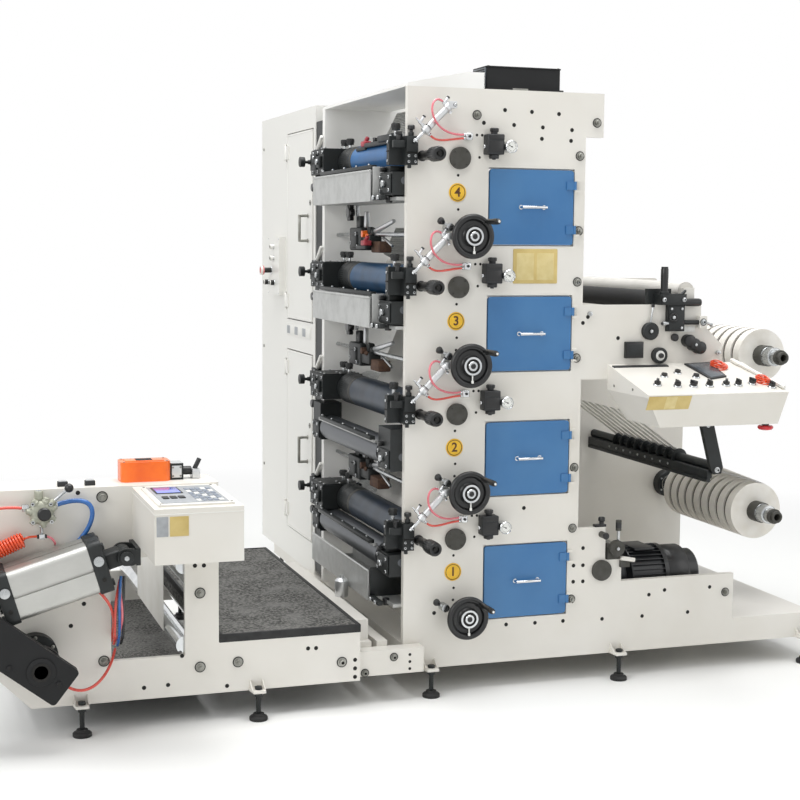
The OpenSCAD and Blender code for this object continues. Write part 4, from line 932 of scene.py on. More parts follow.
def dress_cabinet():
    """Door rims, grips, hinges and locks, the blank strip, the slots and the switches."""
    for name, z in (("cabinet_door_upper", (1302, 2133)), ("cabinet_door_lower", (334, 1156))):
        made = Made(name + "_fittings", name, "zinc_plated_steel", "hole_shadow", "cabinet_enamel",
                    "black_abs")
        y = (1252, 1694)
        # Folded rim of the door
        for a, b in (((y[0] + 4, y[0] + 9), (z[0] + 4, z[1] - 4)),
                     ((y[1] - 9, y[1] - 4), (z[0] + 4, z[1] - 4)),
                     ((y[0] + 4, y[1] - 4), (z[0] + 4, z[0] + 9)),
                     ((y[0] + 4, y[1] - 4), (z[1] - 9, z[1] - 4))):
            made.put(slab((-4.2, -2.6), a, b, 0.7), 2)
        mid = (z[0] + z[1]) / 2 - 8
        made.bar(0, at(-42, y[0] + 72, mid - 60), 6.4, 120, 2.5, 20)
        for e in (-54, 54):
            made.bar(0, at(-3, y[0] + 72, mid + e, -X), 6.2, 37, 0.6, 18)
            made.bar(0, at(-3, y[0] + 72, mid + e, -X), 10, 2, 0.8, 24)
        made.each([(-7, 1699, z[0] + e - 30.5) for e in (80, z[1] - z[0] - 80)], 2, Z, 6.8, 61, 1, 20)
        # Lock, with a dark strip of painted shade for its keyhole
        made.bar(0, at(-3, y[0] + 34, mid + 110, -X), 12, 3, 1, 28)
        made.put(slab((-6.4, -5.6), (y[0] + 27, y[0] + 41), (mid + 108.6, mid + 111.4), 0.2), 1)
        made.down()

    made = Made("cabinet_fittings", "root", "cabinet_enamel", "hole_shadow", "zinc_plated_steel", "key_grey")
    # Blank strip between the doors with its plates, and ventilation slots on the right side
    made.put(slab((-2, 0), (1282, 1704), (1224, 1276), 0.8), 0)
    for i in range(6):
        y = 1300 + 68 * i
        made.put(slab((-3.4, -1.6), (y, y + 50), (1232, 1268), 0.6), 3 if i % 2 else 0)
    # The ventilation slots are dark strips of painted shade
    for low in (1900, 420):
        for i in range(12):
            made.put(slab((518, 521), (1300, 1480), (low + i * 14, low + 6 + i * 14), 1), 1)
    made.each([(0, 2150, z) for z in (559, 1141, 2092)], 2, -X, 7, 4, 1, 16)
    made.down()

    made = Made("switch_strip_fittings", "root", "moulded_phenolic", "red_abs", "chromed_steel")
    for z in (1573, 1626):
        made.put(lathe([(0, 30), (12, 30), (12, 36), (10, 38), (10, 46), (8, 48), (0, 48)], 28), 0,
                 at(0, 1840, z, -X))
        made.bar(2, at(-30, 1840, z, -X), 14.5, 3, 0.8, 28)
    made.bar(2, at(-30, 1880, 1516, -X), 20, 4, 1.2, 32)
    made.bar(0, at(-30, 1880, 1516, -X), 12.2, 40, 0.5, 24)
    made.put(lathe([(12, 68), (21, 68), (22.4, 72), (21, 80), (15, 84.2), (0, 85)], 36), 1,
             at(0, 1880, 1516, -X))
    for y in (1822, 1938):
        made.bar(2, at(-30, y, 1459, -X), 14, 4, 1, 28)
        made.put(lathe([(0, 30), (12.2, 30), (12.2, 50), (9, 54), (0, 54)], 28), 0, at(0, y, 1459, -X))
    made.each([(-30, y, z) for y in (1743, 1937) for z in (1411, 1663)], 2, -X, 3.6, 1.6, 0.5, 14)
    made.down()


def dress_head():
    """Lid, grille and screws of the blower box, and the trim of the top cover."""
    made = Made("blower_fittings", "root", "black_powder_coat", "hole_shadow", "zinc_plated_steel",
                "display_grey")
    # Lid with turned edges, feet and the grille on its left end
    made.put(slab((303, 595), (17, 153), (2280, 2286), 2.5), 0)
    made.put(slab((300, 306), (24, 146), (2204, 2280), 1.5), 3)
    # Dark bars across the grille: painted shade in its openings
    for i in range(8):
        made.put(slab((298.6, 300.4), (30, 140), (2212 + i * 8.5, 2216 + i * 8.5), 0.5), 1)
    made.each([(x, y, 2286) for x in (312, 586) for y in (24, 146)], 2, Z, 4.5, 1.6, 0.6, 14)
    made.put(slab((400, 460), (2, 20), (2201, 2208), 1), 2)
    made.down()

    made = Made("top_cover_fittings", "root", "white_coil_sheet", "black_powder_coat", "zinc_plated_steel")
    made.put(slab((286, 291), (0, REAR_FACE), (2201, 2258), 1), 1)
    made.each([(258, y, 2258) for y in (60, 380, 700, 1040)], 2, Z, 5, 2, 0.8, 16)
    made.down()


# ---------------------------------------------------------------- rewinder

# The two rewind shafts, and the slit reels on them: how many, where the first starts, pitch and width
UPPER, LOWER = (1640, 1205), (1636, 560)
# Where the shafts end, and the radius of the dark disc of painted shade in each gap between the reels
SHAFT_END, GAP_SHADE_R = 1164, {"upper": 102, "lower": 111}
REELS, REEL_Y, REEL_PITCH, REEL_W = 9, 290, 66, 46


def dress_rewinder():
    """Nip levers, reel shafts with what stands between the reels, collars and slitting guides."""
    made = Made("nip_levers", "root", "oxide_blackened_casting", "moulded_phenolic", "ground_steel",
                "hole_shadow", "stove_enamel", "white_dial")
    # Upright handle, grip to the right, and the horn of the lever plate
    made.put(lathe([(0, 0), (13.4, 0), (13.6, 8), (14.6, 60), (14.4, 86), (11, 94), (0, 95)], 28), 1,
             at(1021, -16, 1475))
    made.bar(0, at(1021, -16, 1467), 17, 12, 2, 24)
    made.put(lathe([(0, 0), (13.2, 0), (14.6, 8), (15.4, 40), (15, 60), (11, 65), (0, 66)], 28), 1,
             at(1108, -18, 1436, X))
    made.bar(0, at(1084, -18, 1456, (0.72, 0, 0.69)), 9, 38, 4, 12, 5)
    made.put(slab((1004, 1104), (-36, -31), (1431, 1464), 3), 0)
    for x in (1012, 1096):
        cap_screw(made, x, -36, 1447, -Y, 6, 6, 2, 3)
    # Lever block under it: ring knob, bright knob and screws
    made.put(slab((1040, 1105), (-24, -19), (1331, 1423), 3), 0)
    made.put(tube_ring(14, 4.5, 36, 10), 1, at(1058, -27, 1380, -Y))
    made.bar(2, at(1058, -22, 1380, -Y), 7, 10, 2, 20)
    made.bar(2, at(1044, -14, 1357, -X), 9, 26, 2, 24)
    made.bar(1, at(1024, -14, 1357, -X), 6, 10, 1.5, 6)
    made.each([(x, -24, z) for x, z in ((1094, 1340), (1094, 1412), (1050, 1412))], 2, -Y, 5, 4, 0.8, 12)
    # Roller release: disc and thin rod, square box, dial
    made.put(lathe([(0, 12), (31, 12), (33.4, 14), (33.4, 16), (30, 19), (14, 19), (12, 17), (0, 17)], 40), 0,
             at(970, 0, 1328, -Y))
    made.bar(2, at(970, -17, 1328, -Y), 7, 6, 1, 6)
    made.bar(2, at(970, -10, 1360, (0.15, 0, 0.99)), 4, 62, 1, 12)
    made.bar(1, at(979, -10, 1418), 6.5, 12, 2, 16)
    made.put(slab((868, 938), (-21, -17), (1229, 1288), 3), 1)
    made.put(slab((876, 930), (-23, -20), (1236, 1281), 2), 0)
    made.put(lathe([(0, 14), (29, 14), (30.4, 16), (30.4, 20), (27, 22), (21, 22), (20, 20), (0, 20)], 40), 0,
             at(1010, 0, 1236, -Y))
    made.bar(5, at(1010, -19.4, 1236, -Y), 19, 1.5, 0.4, 36)
    made.put(lathe([(0, 0), (9, 0), (10, 3), (9, 12), (0, 14)], 24), 1, at(1010, -20, 1236, -Y))
    made.put(lathe([(0, 6), (12, 6), (14.4, 8), (14.4, 12), (12, 14), (0, 14)], 28), 1, at(1076, 0, 1303, -Y))
    # The three-lobed clamp, rounded at its rims
    for x, z in ((1130, 1290), (1152, 1276), (1176, 1264)):
        made.put(lathe([(0, 20), (24.3, 20), (24.3, 28), (22, 33), (16, 36), (0, 36.5)], 36), 1,
                 at(x, 0, z, -Y))
    made.bar(2, at(1152, -35, 1276, -Y), 6, 4, 1, 6)
    # Post, its bearing on the plate and the bolt beyond it
    cap_screw(made, 1187, -24, 1361, -Y, 8, 8, 2, 3)
    made.bar(2, at(1203, -10, 1360, (0.92, 0, -0.39)), 5, 30, 1.2, 14)
    made.bar(2, at(1226, -10, 1350, (0.92, 0, -0.39)), 8, 8, 1.2, 6)
    made.put(slab((1111, 1164), (-2, 0), (1323, 1344), 0.8), 5)
    for x, z in ((667, 1512), (720, 1395), (1264, 1242)):
        made.bar(2, at(x, 0, z, -Y), 9, 14, 2, 20)
        made.bar(2, at(x, -14, z, -Y), 5, 8, 1, 14)
    made.down()

    for side, (x, z) in (("upper", UPPER), ("lower", LOWER)):
        made = Made(f"{side}_reel_shaft", f"{side}_rewind", "ground_steel", "phosphated_steel",
                    "chromed_steel", "hole_shadow", "brown_core")
        here = at(x, SHAFT_END, z, -Y)
        # One turned bar: journal and winding length, dark collar, bright sleeve, and the dark bored nose
        made.put(lathe([(0, 0), (37, 0), (38, 1), (38, 852)], 48), 0, here)
        made.put(lathe([(38, 852), (42, 853), (42, 928), (38, 930)], 48), 1, here)
        made.put(lathe([(38, 930), (37, 931), (37, 977), (35, 979), (30, 980), (30, 1006)], 48), 0, here)
        made.put(lathe([(30, 1006), (30.4, 1007), (30.4, 1019), (24, 1021), (24, 1037), (22.5, 1039),
                        (15, 1039), (14, 1037), (14, 1005), (0, 1005)], 48), 1, here)
        # A dark disc deep in the bore and dark dots round the bar: painted shade of the bore and of the holes
        made.bar(3, at(x, 160, z, -Y), 13.5, 1.5, sides=32)
        for dx, dz in ring(6, 37):
            made.bar(3, at(x + dx, 224, z + dz, (dx / 37, 0, dz / 37)), 2, 2, 0.5, 8)
        # Between the slit reels: the core, and a dark disc of painted shade that darkens the gap
        for i in range(REELS - 1):
            gap = REEL_Y + REEL_W + i * REEL_PITCH
            made.bar(4, at(x, gap + 0.5, z, Y), 52, REEL_PITCH - REEL_W - 1, 0.5, 40)
            made.bar(4, at(x, gap + 5, z, Y), GAP_SHADE_R[side], 11, 0.8, 56)
        made.down(replaces=[f"{side}_rewind_shaft"])

    made = Made("rewind_collars", "root", "oxide_blackened_casting", "ground_steel", "hole_shadow")
    for x, z in (UPPER, LOWER):
        made.put(lathe([(39.5, 0), (58, 0), (62, 3), (62, 44), (59, 48), (44, 48), (39.5, 45)], 48), 0,
                 at(x, 1068, z, -Y))
        made.each([(x + dx, 1021, z + dz) for dx, dz in ring(6, 51, 30)], 1, -Y, 4.5, 3, 0.8, 12)
    made.down()

    made = Made("slitting_guides", "root", "oxide_blackened_casting", "ground_steel", "hole_shadow")
    made.put(slab((1238, 1262), (4, 1064), (752, 786), 4), 0)
    made.put(slab((1236, 1256), (8, 1060), (738, 752), 2), 0)
    made.each([(1238, REEL_Y + REEL_W / 2 + i * REEL_PITCH, 770) for i in range(REELS)], 1, -X, 5, 5, 1, 12)
    cap_screw(made, 1266, -22, 790, -Y, 8, 8, 1, 2)
    cap_screw(made, 1222, -22, 966, -Y, 7, 6, 1, 2)
    made.down()


def dress_motor():
    """Finned winding motor on its rails, and the small levers of the step plate."""
    made = Made("winding_motor", "root", "motor_lacquer", "moulded_phenolic", "ground_steel", "hole_shadow",
                "black_abs")
    here = at(0, 220, 346, X)
    made.put(lathe([(0, 938), (78, 938), (84, 944), (84, 972), (100, 980), (117, 982), (118, 986)], 64), 0,
             here)
    made.put(lathe([(106, 984), (106, 1128)], 64), 0, here)
    for i in range(36):
        turn = Matrix.Rotation(2 * math.pi * i / 36, 4, "Z")
        made.put(slab((104, 117.5), (-1.6, 1.6), (984, 1128), 0.7), 0, here @ turn)
    made.put(lathe([(106, 1126), (118, 1127), (118, 1145), (110, 1147), (108, 1150), (110, 1153), (110, 1232),
                    (106, 1240), (90, 1242), (90, 1284), (84, 1290), (0, 1290)], 64), 1, here)
    # Dark rings on the end cover: painted shade
    for r in (30, 46, 62, 78):
        made.put(lathe([(r, 1290), (r + 5, 1290.6), (r + 7, 1290)], 48), 3, here)
    made.put(slab((1010, 1098), (150, 290), (452, 464), 4), 0)
    made.put(lathe([(0, 0), (22, 0), (22, 17), (20, 17)], 4), 0, at(1050, 220, 446))
    made.bar(2, at(878, 220, 346, X), 21.5, 62, 1.5, 32)
    made.put(slab((985, 1235), (123, 317), (195, 208), 3), 0)
    for x in (1000, 1220):
        made.each([(x, y, 208) for y in (136, 304)], 2, Z, 8, 9, 1.2, 6)
        made.put(slab((x - 12, x + 12), (128, 312), (206, 284), 3), 0)
    made.put(slab((936, 944), (132, 308), (262, 452), 3), 0)
    made.down(replaces=["drive_motor"])

    made = Made("step_fittings", "root", "oxide_blackened_casting", "moulded_phenolic", "ground_steel",
                "hole_shadow", "stove_enamel", "phosphated_steel")
    made.put(lathe([(0, 14), (29, 14), (31, 16), (31, 20), (28, 22), (0, 22)], 36), 5, at(850, 0, 505, -Y))
    made.bar(2, at(850, -22, 505, -Y), 7, 6, 1, 6)
    made.put(lathe([(0, 0), (5.5, 0), (5.5, 42), (8, 46), (11.6, 54), (11.4, 74), (8, 81), (0, 82)], 24), 1,
             at(858, -8, 530))
    made.bar(2, at(858, -8, 530), 5.8, 44, 0.8, 16)
    made.bar(4, at(868, -10, 466, (0.98, -0.1, -0.17)), 8.5, 58, 2, 18)
    made.put(lathe([(0, 34), (12.4, 34), (13, 36), (13, 42), (11, 45), (0, 45)], 24), 1, at(790, 0, 560, -Y))
    made.put(slab((764, 812), (2, 24), (587, 597), 2), 1)
    made.put(lathe([(0, 0), (9, 0), (9, 10), (13, 14), (13, 24), (10, 28), (0, 28)], 24), 1, at(796, 12, 596))
    made.down()


# ---------------------------------------------------------------- control desk

# The desk top falls from its back edge to its front edge, and the front face leans in below that
DESK_BACK_Z, DESK_FRONT_Z, DESK_DEPTH = 1205, 1120, 332
DESK_SLOPE = math.atan((DESK_BACK_Z - DESK_FRONT_Z) / DESK_DEPTH)
SWITCHES = ((886, 239.5, -25), (958, 258, 0), (1021, 262, 30), (1088, 261, 0), (1159, 257, -30),
            (1208, 260, 0), (1272, 250, 20), (1332, 290, 0))
STOP_BUTTON = (1348, -222, 995)


def on_desk(x, back, up=0.0):
    """Place on the sloped top of the desk, measured down from its back edge."""
    return (shift((x, 0, DESK_BACK_Z)) @ Matrix.Rotation(DESK_SLOPE, 4, "X")
            @ shift((0, -back, up)))


def dress_desk():
    """Switches, dark cover plate, stop button, coils, wand, blank plates and seams of the desk."""
    made = Made("desk_switches", "root", "black_abs", "chromed_steel", "white_dial", "moulded_phenolic",
                "display_grey", "orange_pu_tube", "cabinet_enamel", "red_abs")
    # Selector switches along the front, and three push buttons above them
    for x, back, degrees in SWITCHES:
        here = on_desk(x, back)
        made.put(lathe([(0, 0), (16, 0), (16.5, 2), (15, 6), (12.5, 7)], 32), 1, here)
        made.put(lathe([(12.5, 6), (12.5, 14), (11, 16), (0, 16)], 28), 3, here)
        lever = here @ turned(degrees, "Z")
        made.put(slab((-5, 5), (-15, 14), (10, 25), 2.5), 3, lever)
        made.put(slab((-0.9, 0.9), (4, 14), (24.6, 25.4), 0.2), 2, lever)
    for x, back in ((1033, 116), (1085, 164), (960, 150)):
        here = on_desk(x, back)
        made.put(lathe([(0, 0), (15, 0), (15.5, 1.5), (14, 5), (11.5, 6)], 32), 1, here)
        made.put(lathe([(11.5, 4), (11.5, 12), (10, 14), (0, 14)], 28), 3, here)
    # Dark strip at the back and the dark cover plate, set askew
    made.put(slab((806, 1036), (-42, -24), (0, 4), 1.5), 0, on_desk(0, 0))
    made.put(prism([(1129, -196), (1210, -171), (1226, -9), (1110, -22)], 6, 1.5), 0, on_desk(0, 0))
    made.put(prism([(1138, -184), (1203, -164), (1216, -20), (1121, -31)], 7, 0.6), 4, on_desk(0, 0))
    # Stop button under the right end
    made.bar(0, at(*STOP_BUTTON, -Z), 13, 14, 1, 28)
    made.bar(1, at(*STOP_BUTTON, -Z), 18, 3, 1, 28)
    made.put(lathe([(12, 10), (25, 10), (29, 14), (29, 20), (25, 25), (14, 28), (0, 28)], 36), 7,
             at(*STOP_BUTTON, -Z))
    # Hanks of air line that lie on the top, and the pale wand beside them
    for x, back, r in ((1232, 62, 28), (1326, 232, 26)):
        here = on_desk(x, back)
        for i in range(9):
            lean = turned((i * 7 % 5 - 2) * 5, "X") @ turned((i * 3 % 5 - 2) * 6, "Y")
            made.put(tube_ring(r - 6 + i * 5 % 11, 2.2, 40, 8), 5,
                     here @ shift((i * 4 % 9 - 4, i * 5 % 9 - 4, 5 + 1.6 * i)) @ lean)
    wand = on_desk(1324, 2, 9) @ at(0, 0, 0, Vector((45, -315, 0)).normalized())
    made.put(lathe([(0, 0), (7, 0), (8.5, 3), (8.5, 40), (6.5, 46), (6.5, 280), (8.5, 286), (8.5, 312),
                    (6, 318), (0, 318)], 24), 6, wand)
    made.down(replaces=["desk_controls"])

    made = Made("desk_trim", "root", "stove_enamel", "brass_label", "label_tint", "zinc_plated_steel",
                "hole_shadow")
    tilt = math.atan((DESK_DEPTH - 266) / (DESK_FRONT_Z - 995))
    face = shift((0, -DESK_DEPTH, DESK_FRONT_Z)) @ Matrix.Rotation(tilt, 4, "X")
    made.put(slab((804, 975), (-1.6, 0.2), (-62, -5), 0.4), 1, face)
    made.put(slab((874, 918), (-2, -1), (-58, -8), 0.2), 2, face)
    # Turned seam along the front edge and the screws of the end plates
    made.put(slab((802, 1371), (-1.4, 0.4), (-4, -1), 0.4), 0, face)
    made.each([(1373, y, z) for y, z in ((-40, 1030), (-240, 1020), (-40, 1170), (-250, 1110))], 3, X,
              5, 2.5, 0.8, 14)
    made.each([(800, y, 1130) for y in (-60, -210)], 3, -X, 5, 2.5, 0.8, 14)
    made.down()


# ---------------------------------------------------------------- unwinder

UNWIND_BOLTS = ((-1090, 802), (-762, 454), (-763, 195), (-630, 202), (-1090, 242))
UNWIND_HOLES = ((-1198, 371), (-825, 239), (-669, 120), (-956, 138), (-874, 141), (-1154, 443), (-779, 550),
                (-748, 549), (-1169, 819), (-379, 230), (-350, 229), (-206, 175), (-206, 144), (-206, 113))
UNWIND_FACE = -80
# Lift arms: their pivot, the cylinder's fixed pin, and the arm's angle, length and crank at rest
PIVOT, BARREL = (-1318, 285), (-1035, 625)
LIFT_Y, ARM_REST, ARM_LEN, CRANK = -178, math.radians(38), 470, 304
CRANK_AT = (PIVOT[0] - CRANK * math.cos(ARM_REST), PIVOT[1] + CRANK * math.sin(ARM_REST))
LIFT_TILT = math.atan((BARREL[1] - CRANK_AT[1]) / (BARREL[0] - CRANK_AT[0]))


def grooved_square(half, corner, grooves, width, deep):
    """Section of a profile barrel: a square with round corners and slots along its four sides."""
    side = []
    for g in sorted(grooves):
        side += [(half, g - width / 2), (half - deep, g - width / 2), (half - deep, g + width / 2),
                 (half, g + width / 2)]
    for i in range(6):
        a = math.radians(90 * i / 5)
        side.append((half - corner + corner * math.cos(a), half - corner + corner * math.sin(a)))
    points = []
    for turn in range(4):
        a = math.radians(90 * turn)
        points += [(x * math.cos(a) - y * math.sin(a), x * math.sin(a) + y * math.cos(a)) for x, y in side]
    return points


def dress_unwinder():
    """Bolts and holes of the unwinder plates, the lift cylinder and the ends of the lift arms."""
    made = Made("unwinder_screws", "root", "zinc_plated_steel", "hole_shadow", "oxide_blackened_casting")
    for x, z in UNWIND_BOLTS:
        cap_screw(made, x, UNWIND_FACE, z, -Y, 11, 12)
        made.bar(0, at(x, UNWIND_FACE - 12, z, -Y), 6.5, 10, 1.5, 12)
    cap_screw(made, -255, UNWIND_FACE, 171, -Y, 11, 12)
    for x, z in UNWIND_HOLES:
        bore(made, x, UNWIND_FACE, z, -Y, 6)
    for x, z in ((-163, 118), (-54, 168)):
        cap_screw(made, x, -60, z, -Y, 9, 10)
    for z in (172, 146, 120):
        bore(made, 7, -60, z, -Y, 4.5)
    for x, z in UNWIND_BOLTS:
        if z < 590:
            cap_screw(made, x, 1350, z, Y, 11, 12)
    # Boss of the lift arms, bolted round
    made.each([(PIVOT[0] + dx, -125, PIVOT[1] + dz) for dx, dz in ring(6, 65, 30)], 0, -Y, 6, 5, 1, 16)
    made.down()

    along = shift((BARREL[0], LIFT_Y, BARREL[1])) @ Matrix.Rotation(-LIFT_TILT, 4, "Y")
    lying = along @ Matrix(((0, 0, 1, 0), (1, 0, 0, 0), (0, 1, 0, 0), (0, 0, 0, 1)))
    made = Made("air_cylinder_barrel", "lift_barrel", "barrel_aluminium", "oxide_blackened_casting",
                "ground_steel", "hole_shadow", "chromed_steel")
    body = prism(grooved_square(83, 24, (0,), 10, 9), 266)
    made.put(body, 0, lying @ shift((0, 0, -376)))
    for a, b in ((-420, -374), (-112, -66)):
        made.put(prism(round_corners((-88, 88), (-88, 88), 20), b - a, 3), 1, lying @ shift((0, 0, a)))
        for y in (-62, 62):
            for z in (-62, 62):
                far = a if a < -300 else b
                made.bar(1, along @ at(far, y, z, -X if a < -300 else X), 12, 8, 2, 20)
                made.bar(2, along @ at(far, y, z, -X if a < -300 else X), 6, 9, 1, 6)
        # Port, cushioning screw and recessed pads on the faces
        made.bar(2, along @ at((a + b) / 2, -88, 24, -Y), 17, 6, 1.5, 24)
        made.bar(3, along @ at((a + b) / 2, -88, -40, -Y), 7, 3, 0.8, 16)
        made.put(slab((a + 6, b - 6), (-60, -10), (86.5, 89.5), 1.5), 1, along)
        made.put(slab((a + 6, b - 6), (10, 60), (86.5, 89.5), 1.5), 1, along)
    # Eye block, and the gland at the rod's end
    made.put(slab((-68, -10), (-42, 42), (-27, 27), 8, 3), 1, along)
    made.put(lathe([(14.1, 0), (25, 0), (27, 3), (27, 81), (25, 84), (14.1, 84)], 36), 1,
             along @ at(0, -42, 0, Y))
    made.put(lathe([(20.2, 0), (40, 0), (44, 4), (44, 12), (26, 14), (24, 22), (20.2, 22)], 40), 1,
             along @ at(-418, 0, 0, -X))
    made.down(replaces=["lift_barrel"])

    made = Made("fixed_pin_caps", "root", "oxide_blackened_casting", "ground_steel")
    for y, way in ((LIFT_Y - 70, -Y), (LIFT_Y + 62, Y)):
        made.bar(0, at(BARREL[0], y, BARREL[1], way), 22, 8, 2, 28)
        made.bar(1, at(BARREL[0], y, BARREL[1], way), 9, 9, 1, 6)
    made.down()

    made = Made("arm_fittings", "lift_arms", "black_powder_coat", "ground_steel", "hole_shadow",
                "moulded_phenolic")
    arm = shift((PIVOT[0], 0, PIVOT[1])) @ Matrix.Rotation(math.pi + ARM_REST, 4, "Y")
    for y, way in ((-308, -Y), (1401, Y)):
        made.bar(0, arm @ at(0, y, 0, way), 46, 5, 2, 40)
        # A dark countersunk disc in each boss: painted shade of its bore
        made.put(lathe([(0, 5), (22, 5), (22, 7), (30, 8.4), (30, 5)], 40), 2, arm @ at(0, y, 0, way))
        made.bar(0, arm @ at(ARM_LEN, y, 0, way), 48, 8, 2, 40)
        made.bar(1, arm @ at(ARM_LEN, y, 0, way), 30, 14, 3, 32)
        for x in (-70, 90, 200, 400):
            made.bar(0, arm @ at(x, y, 44 if x > 0 else 0, way), 9, 6, 1.5, 20)
            # Dark hexagon: painted shade in the screw's socket
            made.bar(2, arm @ at(x, y + (-6 if y < 0 else 6), 44 if x > 0 else 0, way), 5, 0.6, sides=6)
    made.bar(3, arm @ at(CRANK, -308, 0, -Y), 22, 7, 2, 28)
    made.down()


def dress_manifold():
    """Valve body with its star of ports and ball lever, and what holds the coiled line's ends."""
    made = Made("valve_manifold", "root", "valve_casting", "moulded_phenolic", "ground_steel", "hole_shadow",
                "chromed_steel")
    here = shift((-1290, -80, 775))
    made.put(slab((-34, 34), (-30, 0), (-46, 26), 9, 3), 0, here)
    made.put(lathe([(0, 0), (38, 0), (40, 6), (40, 36), (34, 44), (26, 48), (0, 48)], 40), 0,
             here @ at(0, 0, -10, -Y))
    for i in range(7):
        a = math.radians(20 + 360 * i / 7)
        made.put(lathe([(0, 28), (13, 28), (13, 42), (10, 45), (8, 52), (0, 53)], 20), 0,
                 here @ at(0, -26, -10, (math.cos(a), -0.25, math.sin(a))))
    made.put(lathe([(0, 40), (21, 40), (22, 43), (22, 58), (18, 62), (0, 62)], 32), 1,
             here @ at(6, 0, -14, -Y))
    made.bar(0, here @ at(-8, -23, 30), 14, 30, 2, 28)
    made.bar(2, here @ at(-8, -23, 54), 9, 8, 1.5, 20)
    made.bar(2, here @ at(-40, -23, 5, -X), 13, 22, 1.5, 6)
    made.bar(2, here @ at(40, -23, 10, X), 12, 12, 1.5, 6)
    for x, z in ((-30, -40), (30, -40), (-30, 20), (28, 18)):
        made.bar(2, here @ at(x, -46, z, -Y), 6.5, 5, 1, 16)
        # Dark hexagon: painted shade in the screw's socket
        made.bar(3, here @ at(x, -51, z, -Y), 3.2, 0.5, sides=6)
    made.bar(0, here @ at(24, -38, 12, (0.7, 0, 0.7)), 11, 24, 2, 24)
    made.bar(2, here @ at(30, -40, 20, (0.766, 0, 0.643)), 4.6, 72, 0.8, 16)
    made.put(ball(15, 28), 1, here @ shift((88, -40, 68)))
    # T joint under it and the elbow on the side plate, for the two ends of the coiled line
    made.bar(2, at(-1290, -103, 692), 5, 34, 0.6, 16)
    made.bar(4, at(-1290, -103, 712), 8, 12, 1, 6)
    made.put(slab((-1300, -1280), (-113, -93), (674, 692), 3, 3), 4)
    for way in (-X, X):
        made.bar(1, at(-1290 + 9 * way.x, -103, 683, way), 7, 7, 1.2, 20)
    made.put(slab((-1519, -1505), (-122, -80), (608, 628), 4, 3), 4)
    made.bar(4, at(-1512, -88, 618, Y), 8.5, 8, 1.2, 6)
    made.bar(1, at(-1506, -112, 618, X), 7, 7, 1.2, 20)
    made.down(replaces=["air_manifold"])


# Air lines: name, material, radius, then where it leaves, towards what, from what, and where it ends
TUBES = (
    ("blue_line", "blue_pu_tube", 8, (-1246.8, -103, 785), (-1070, -103, 840), (-1120, -125, 700),
     (-1192, -88, 640)),
    ("supply_line", "red_pu_tube", 5, (-1353.2, -103, 780), (-1420, -103, 790), (-1480, -140, 780),
     (-1480, -81.4, 770)),
    ("vent_line", "pink_pu_tube", 4, (-1282, -103, 683), (-1256, -103, 683), (-1246, -112, 660),
     (-1246, -81, 650)),
    ("lift_line_red", "red_pu_tube", 5, (-1040, -132, 530), (-1076, -190, 440), (-1056, -150, 360),
     (-1052, -45, 290)),
    ("lift_line_blue", "blue_pu_tube", 5, (-1040, -150, 545), (-1058, -190, 440), (-1040, -150, 360),
     (-1040, -45, 284)),
    ("lift_line_black", "black_pu_tube", 5, (-1030, -150, 545), (-1040, -180, 440), (-1026, -150, 360),
     (-1028, -45, 290)),
    ("lift_line_red_2", "red_pu_tube", 5, (-1120, -160, 508), (-1090, -170, 470), (-1050, -170, 440),
     (-1062, -45, 300)),
    ("lift_line_pink", "pink_pu_tube", 4, (-1046, -140, 520), (-1040, -200, 430), (-1030, -150, 380),
     (-1046, -45, 300)),
    ("boss_line", "red_pu_tube", 5, (-1048, -45, 272), (-1090, -190, 190), (-1200, -240, 130),
     (-1266, -124, 238)),
)
STATION_TUBES = (
    ("upper_line", "pink_pu_tube", (210.2, -14, 656), (40, -75, 640), (40, -88, 800), (115.4, -40, 768.4)),
    ("lower_line", "red_pu_tube", (72.4, -40, 647.2), (100, -40, 620), (150, -14, 640), (211.5, -14, 643)),
)


def bent_tube(name, material, r, a, b, c, d, lift=0.0):
    """A pressure tube on one curve that leaves a towards b and comes to d from c."""
    line = bpy.data.curves.new(name, "CURVE")
    line.dimensions = "3D"
    line.bevel_depth = r * MM
    line.bevel_resolution = 3
    line.resolution_u = 24
    line.use_fill_caps = True
    spline = line.splines.new("BEZIER")
    spline.bezier_points.add(1)
    up = Vector((0, 0, lift))
    for knot, p, before, after in zip(spline.bezier_points, (a, d), (a, c), (b, d)):
        knot.co = (Vector(p) + up) * MM + TOWER
        knot.handle_left_type = knot.handle_right_type = "FREE"
        knot.handle_left = (Vector(before) + up) * MM + TOWER
        knot.handle_right = (Vector(after) + up) * MM + TOWER
    line.materials.append(bpy.data.materials[material])
    piece = bpy.data.objects.new(name, line)
    bpy.context.scene.collection.objects.link(piece)
    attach(piece, "root")


def dress_tubes():
    """The pair of lines at each station with their port block, and the lines of the unwinder."""
    made = Made("tube_fittings", "root", "chromed_steel", "hole_shadow", "black_abs")
    for k in STATIONS:
        up = k * PITCH
        made.put(slab((213, 239), (-25, 0), (637 + up, 663 + up), 4, 3), 0)
        for z in (643, 656):
            made.bar(0, at(214, -14, z + up, -X), 5.8, 8, 0.8, 16)
        made.bar(2, at(226, -25, 650 + up, -Y), 5, 6, 1, 16)
        for name, material, *points in STATION_TUBES:
            bent_tube(f"{name}_{k + 1}", material, 4, *points, lift=up)
    made.down(replaces=["air_tubes"])
    for name, material, r, *points in TUBES:
        bent_tube(name, material, r, *points)


# The coiled air line, whose two ends are held by the T joint and the elbow
COIL_ENDS = (Vector((-1348, -112, 680)), Vector((-1470, -112, 628)))
COIL_FROM, COIL_TO = Vector((-1300, -103, 684)), Vector((-1505, -112, 618))
COIL_TURNS, COIL_RADIUS, COIL_WIRE, COIL_STEPS, COIL_RAMP = 14, 23, 4, 22, 16


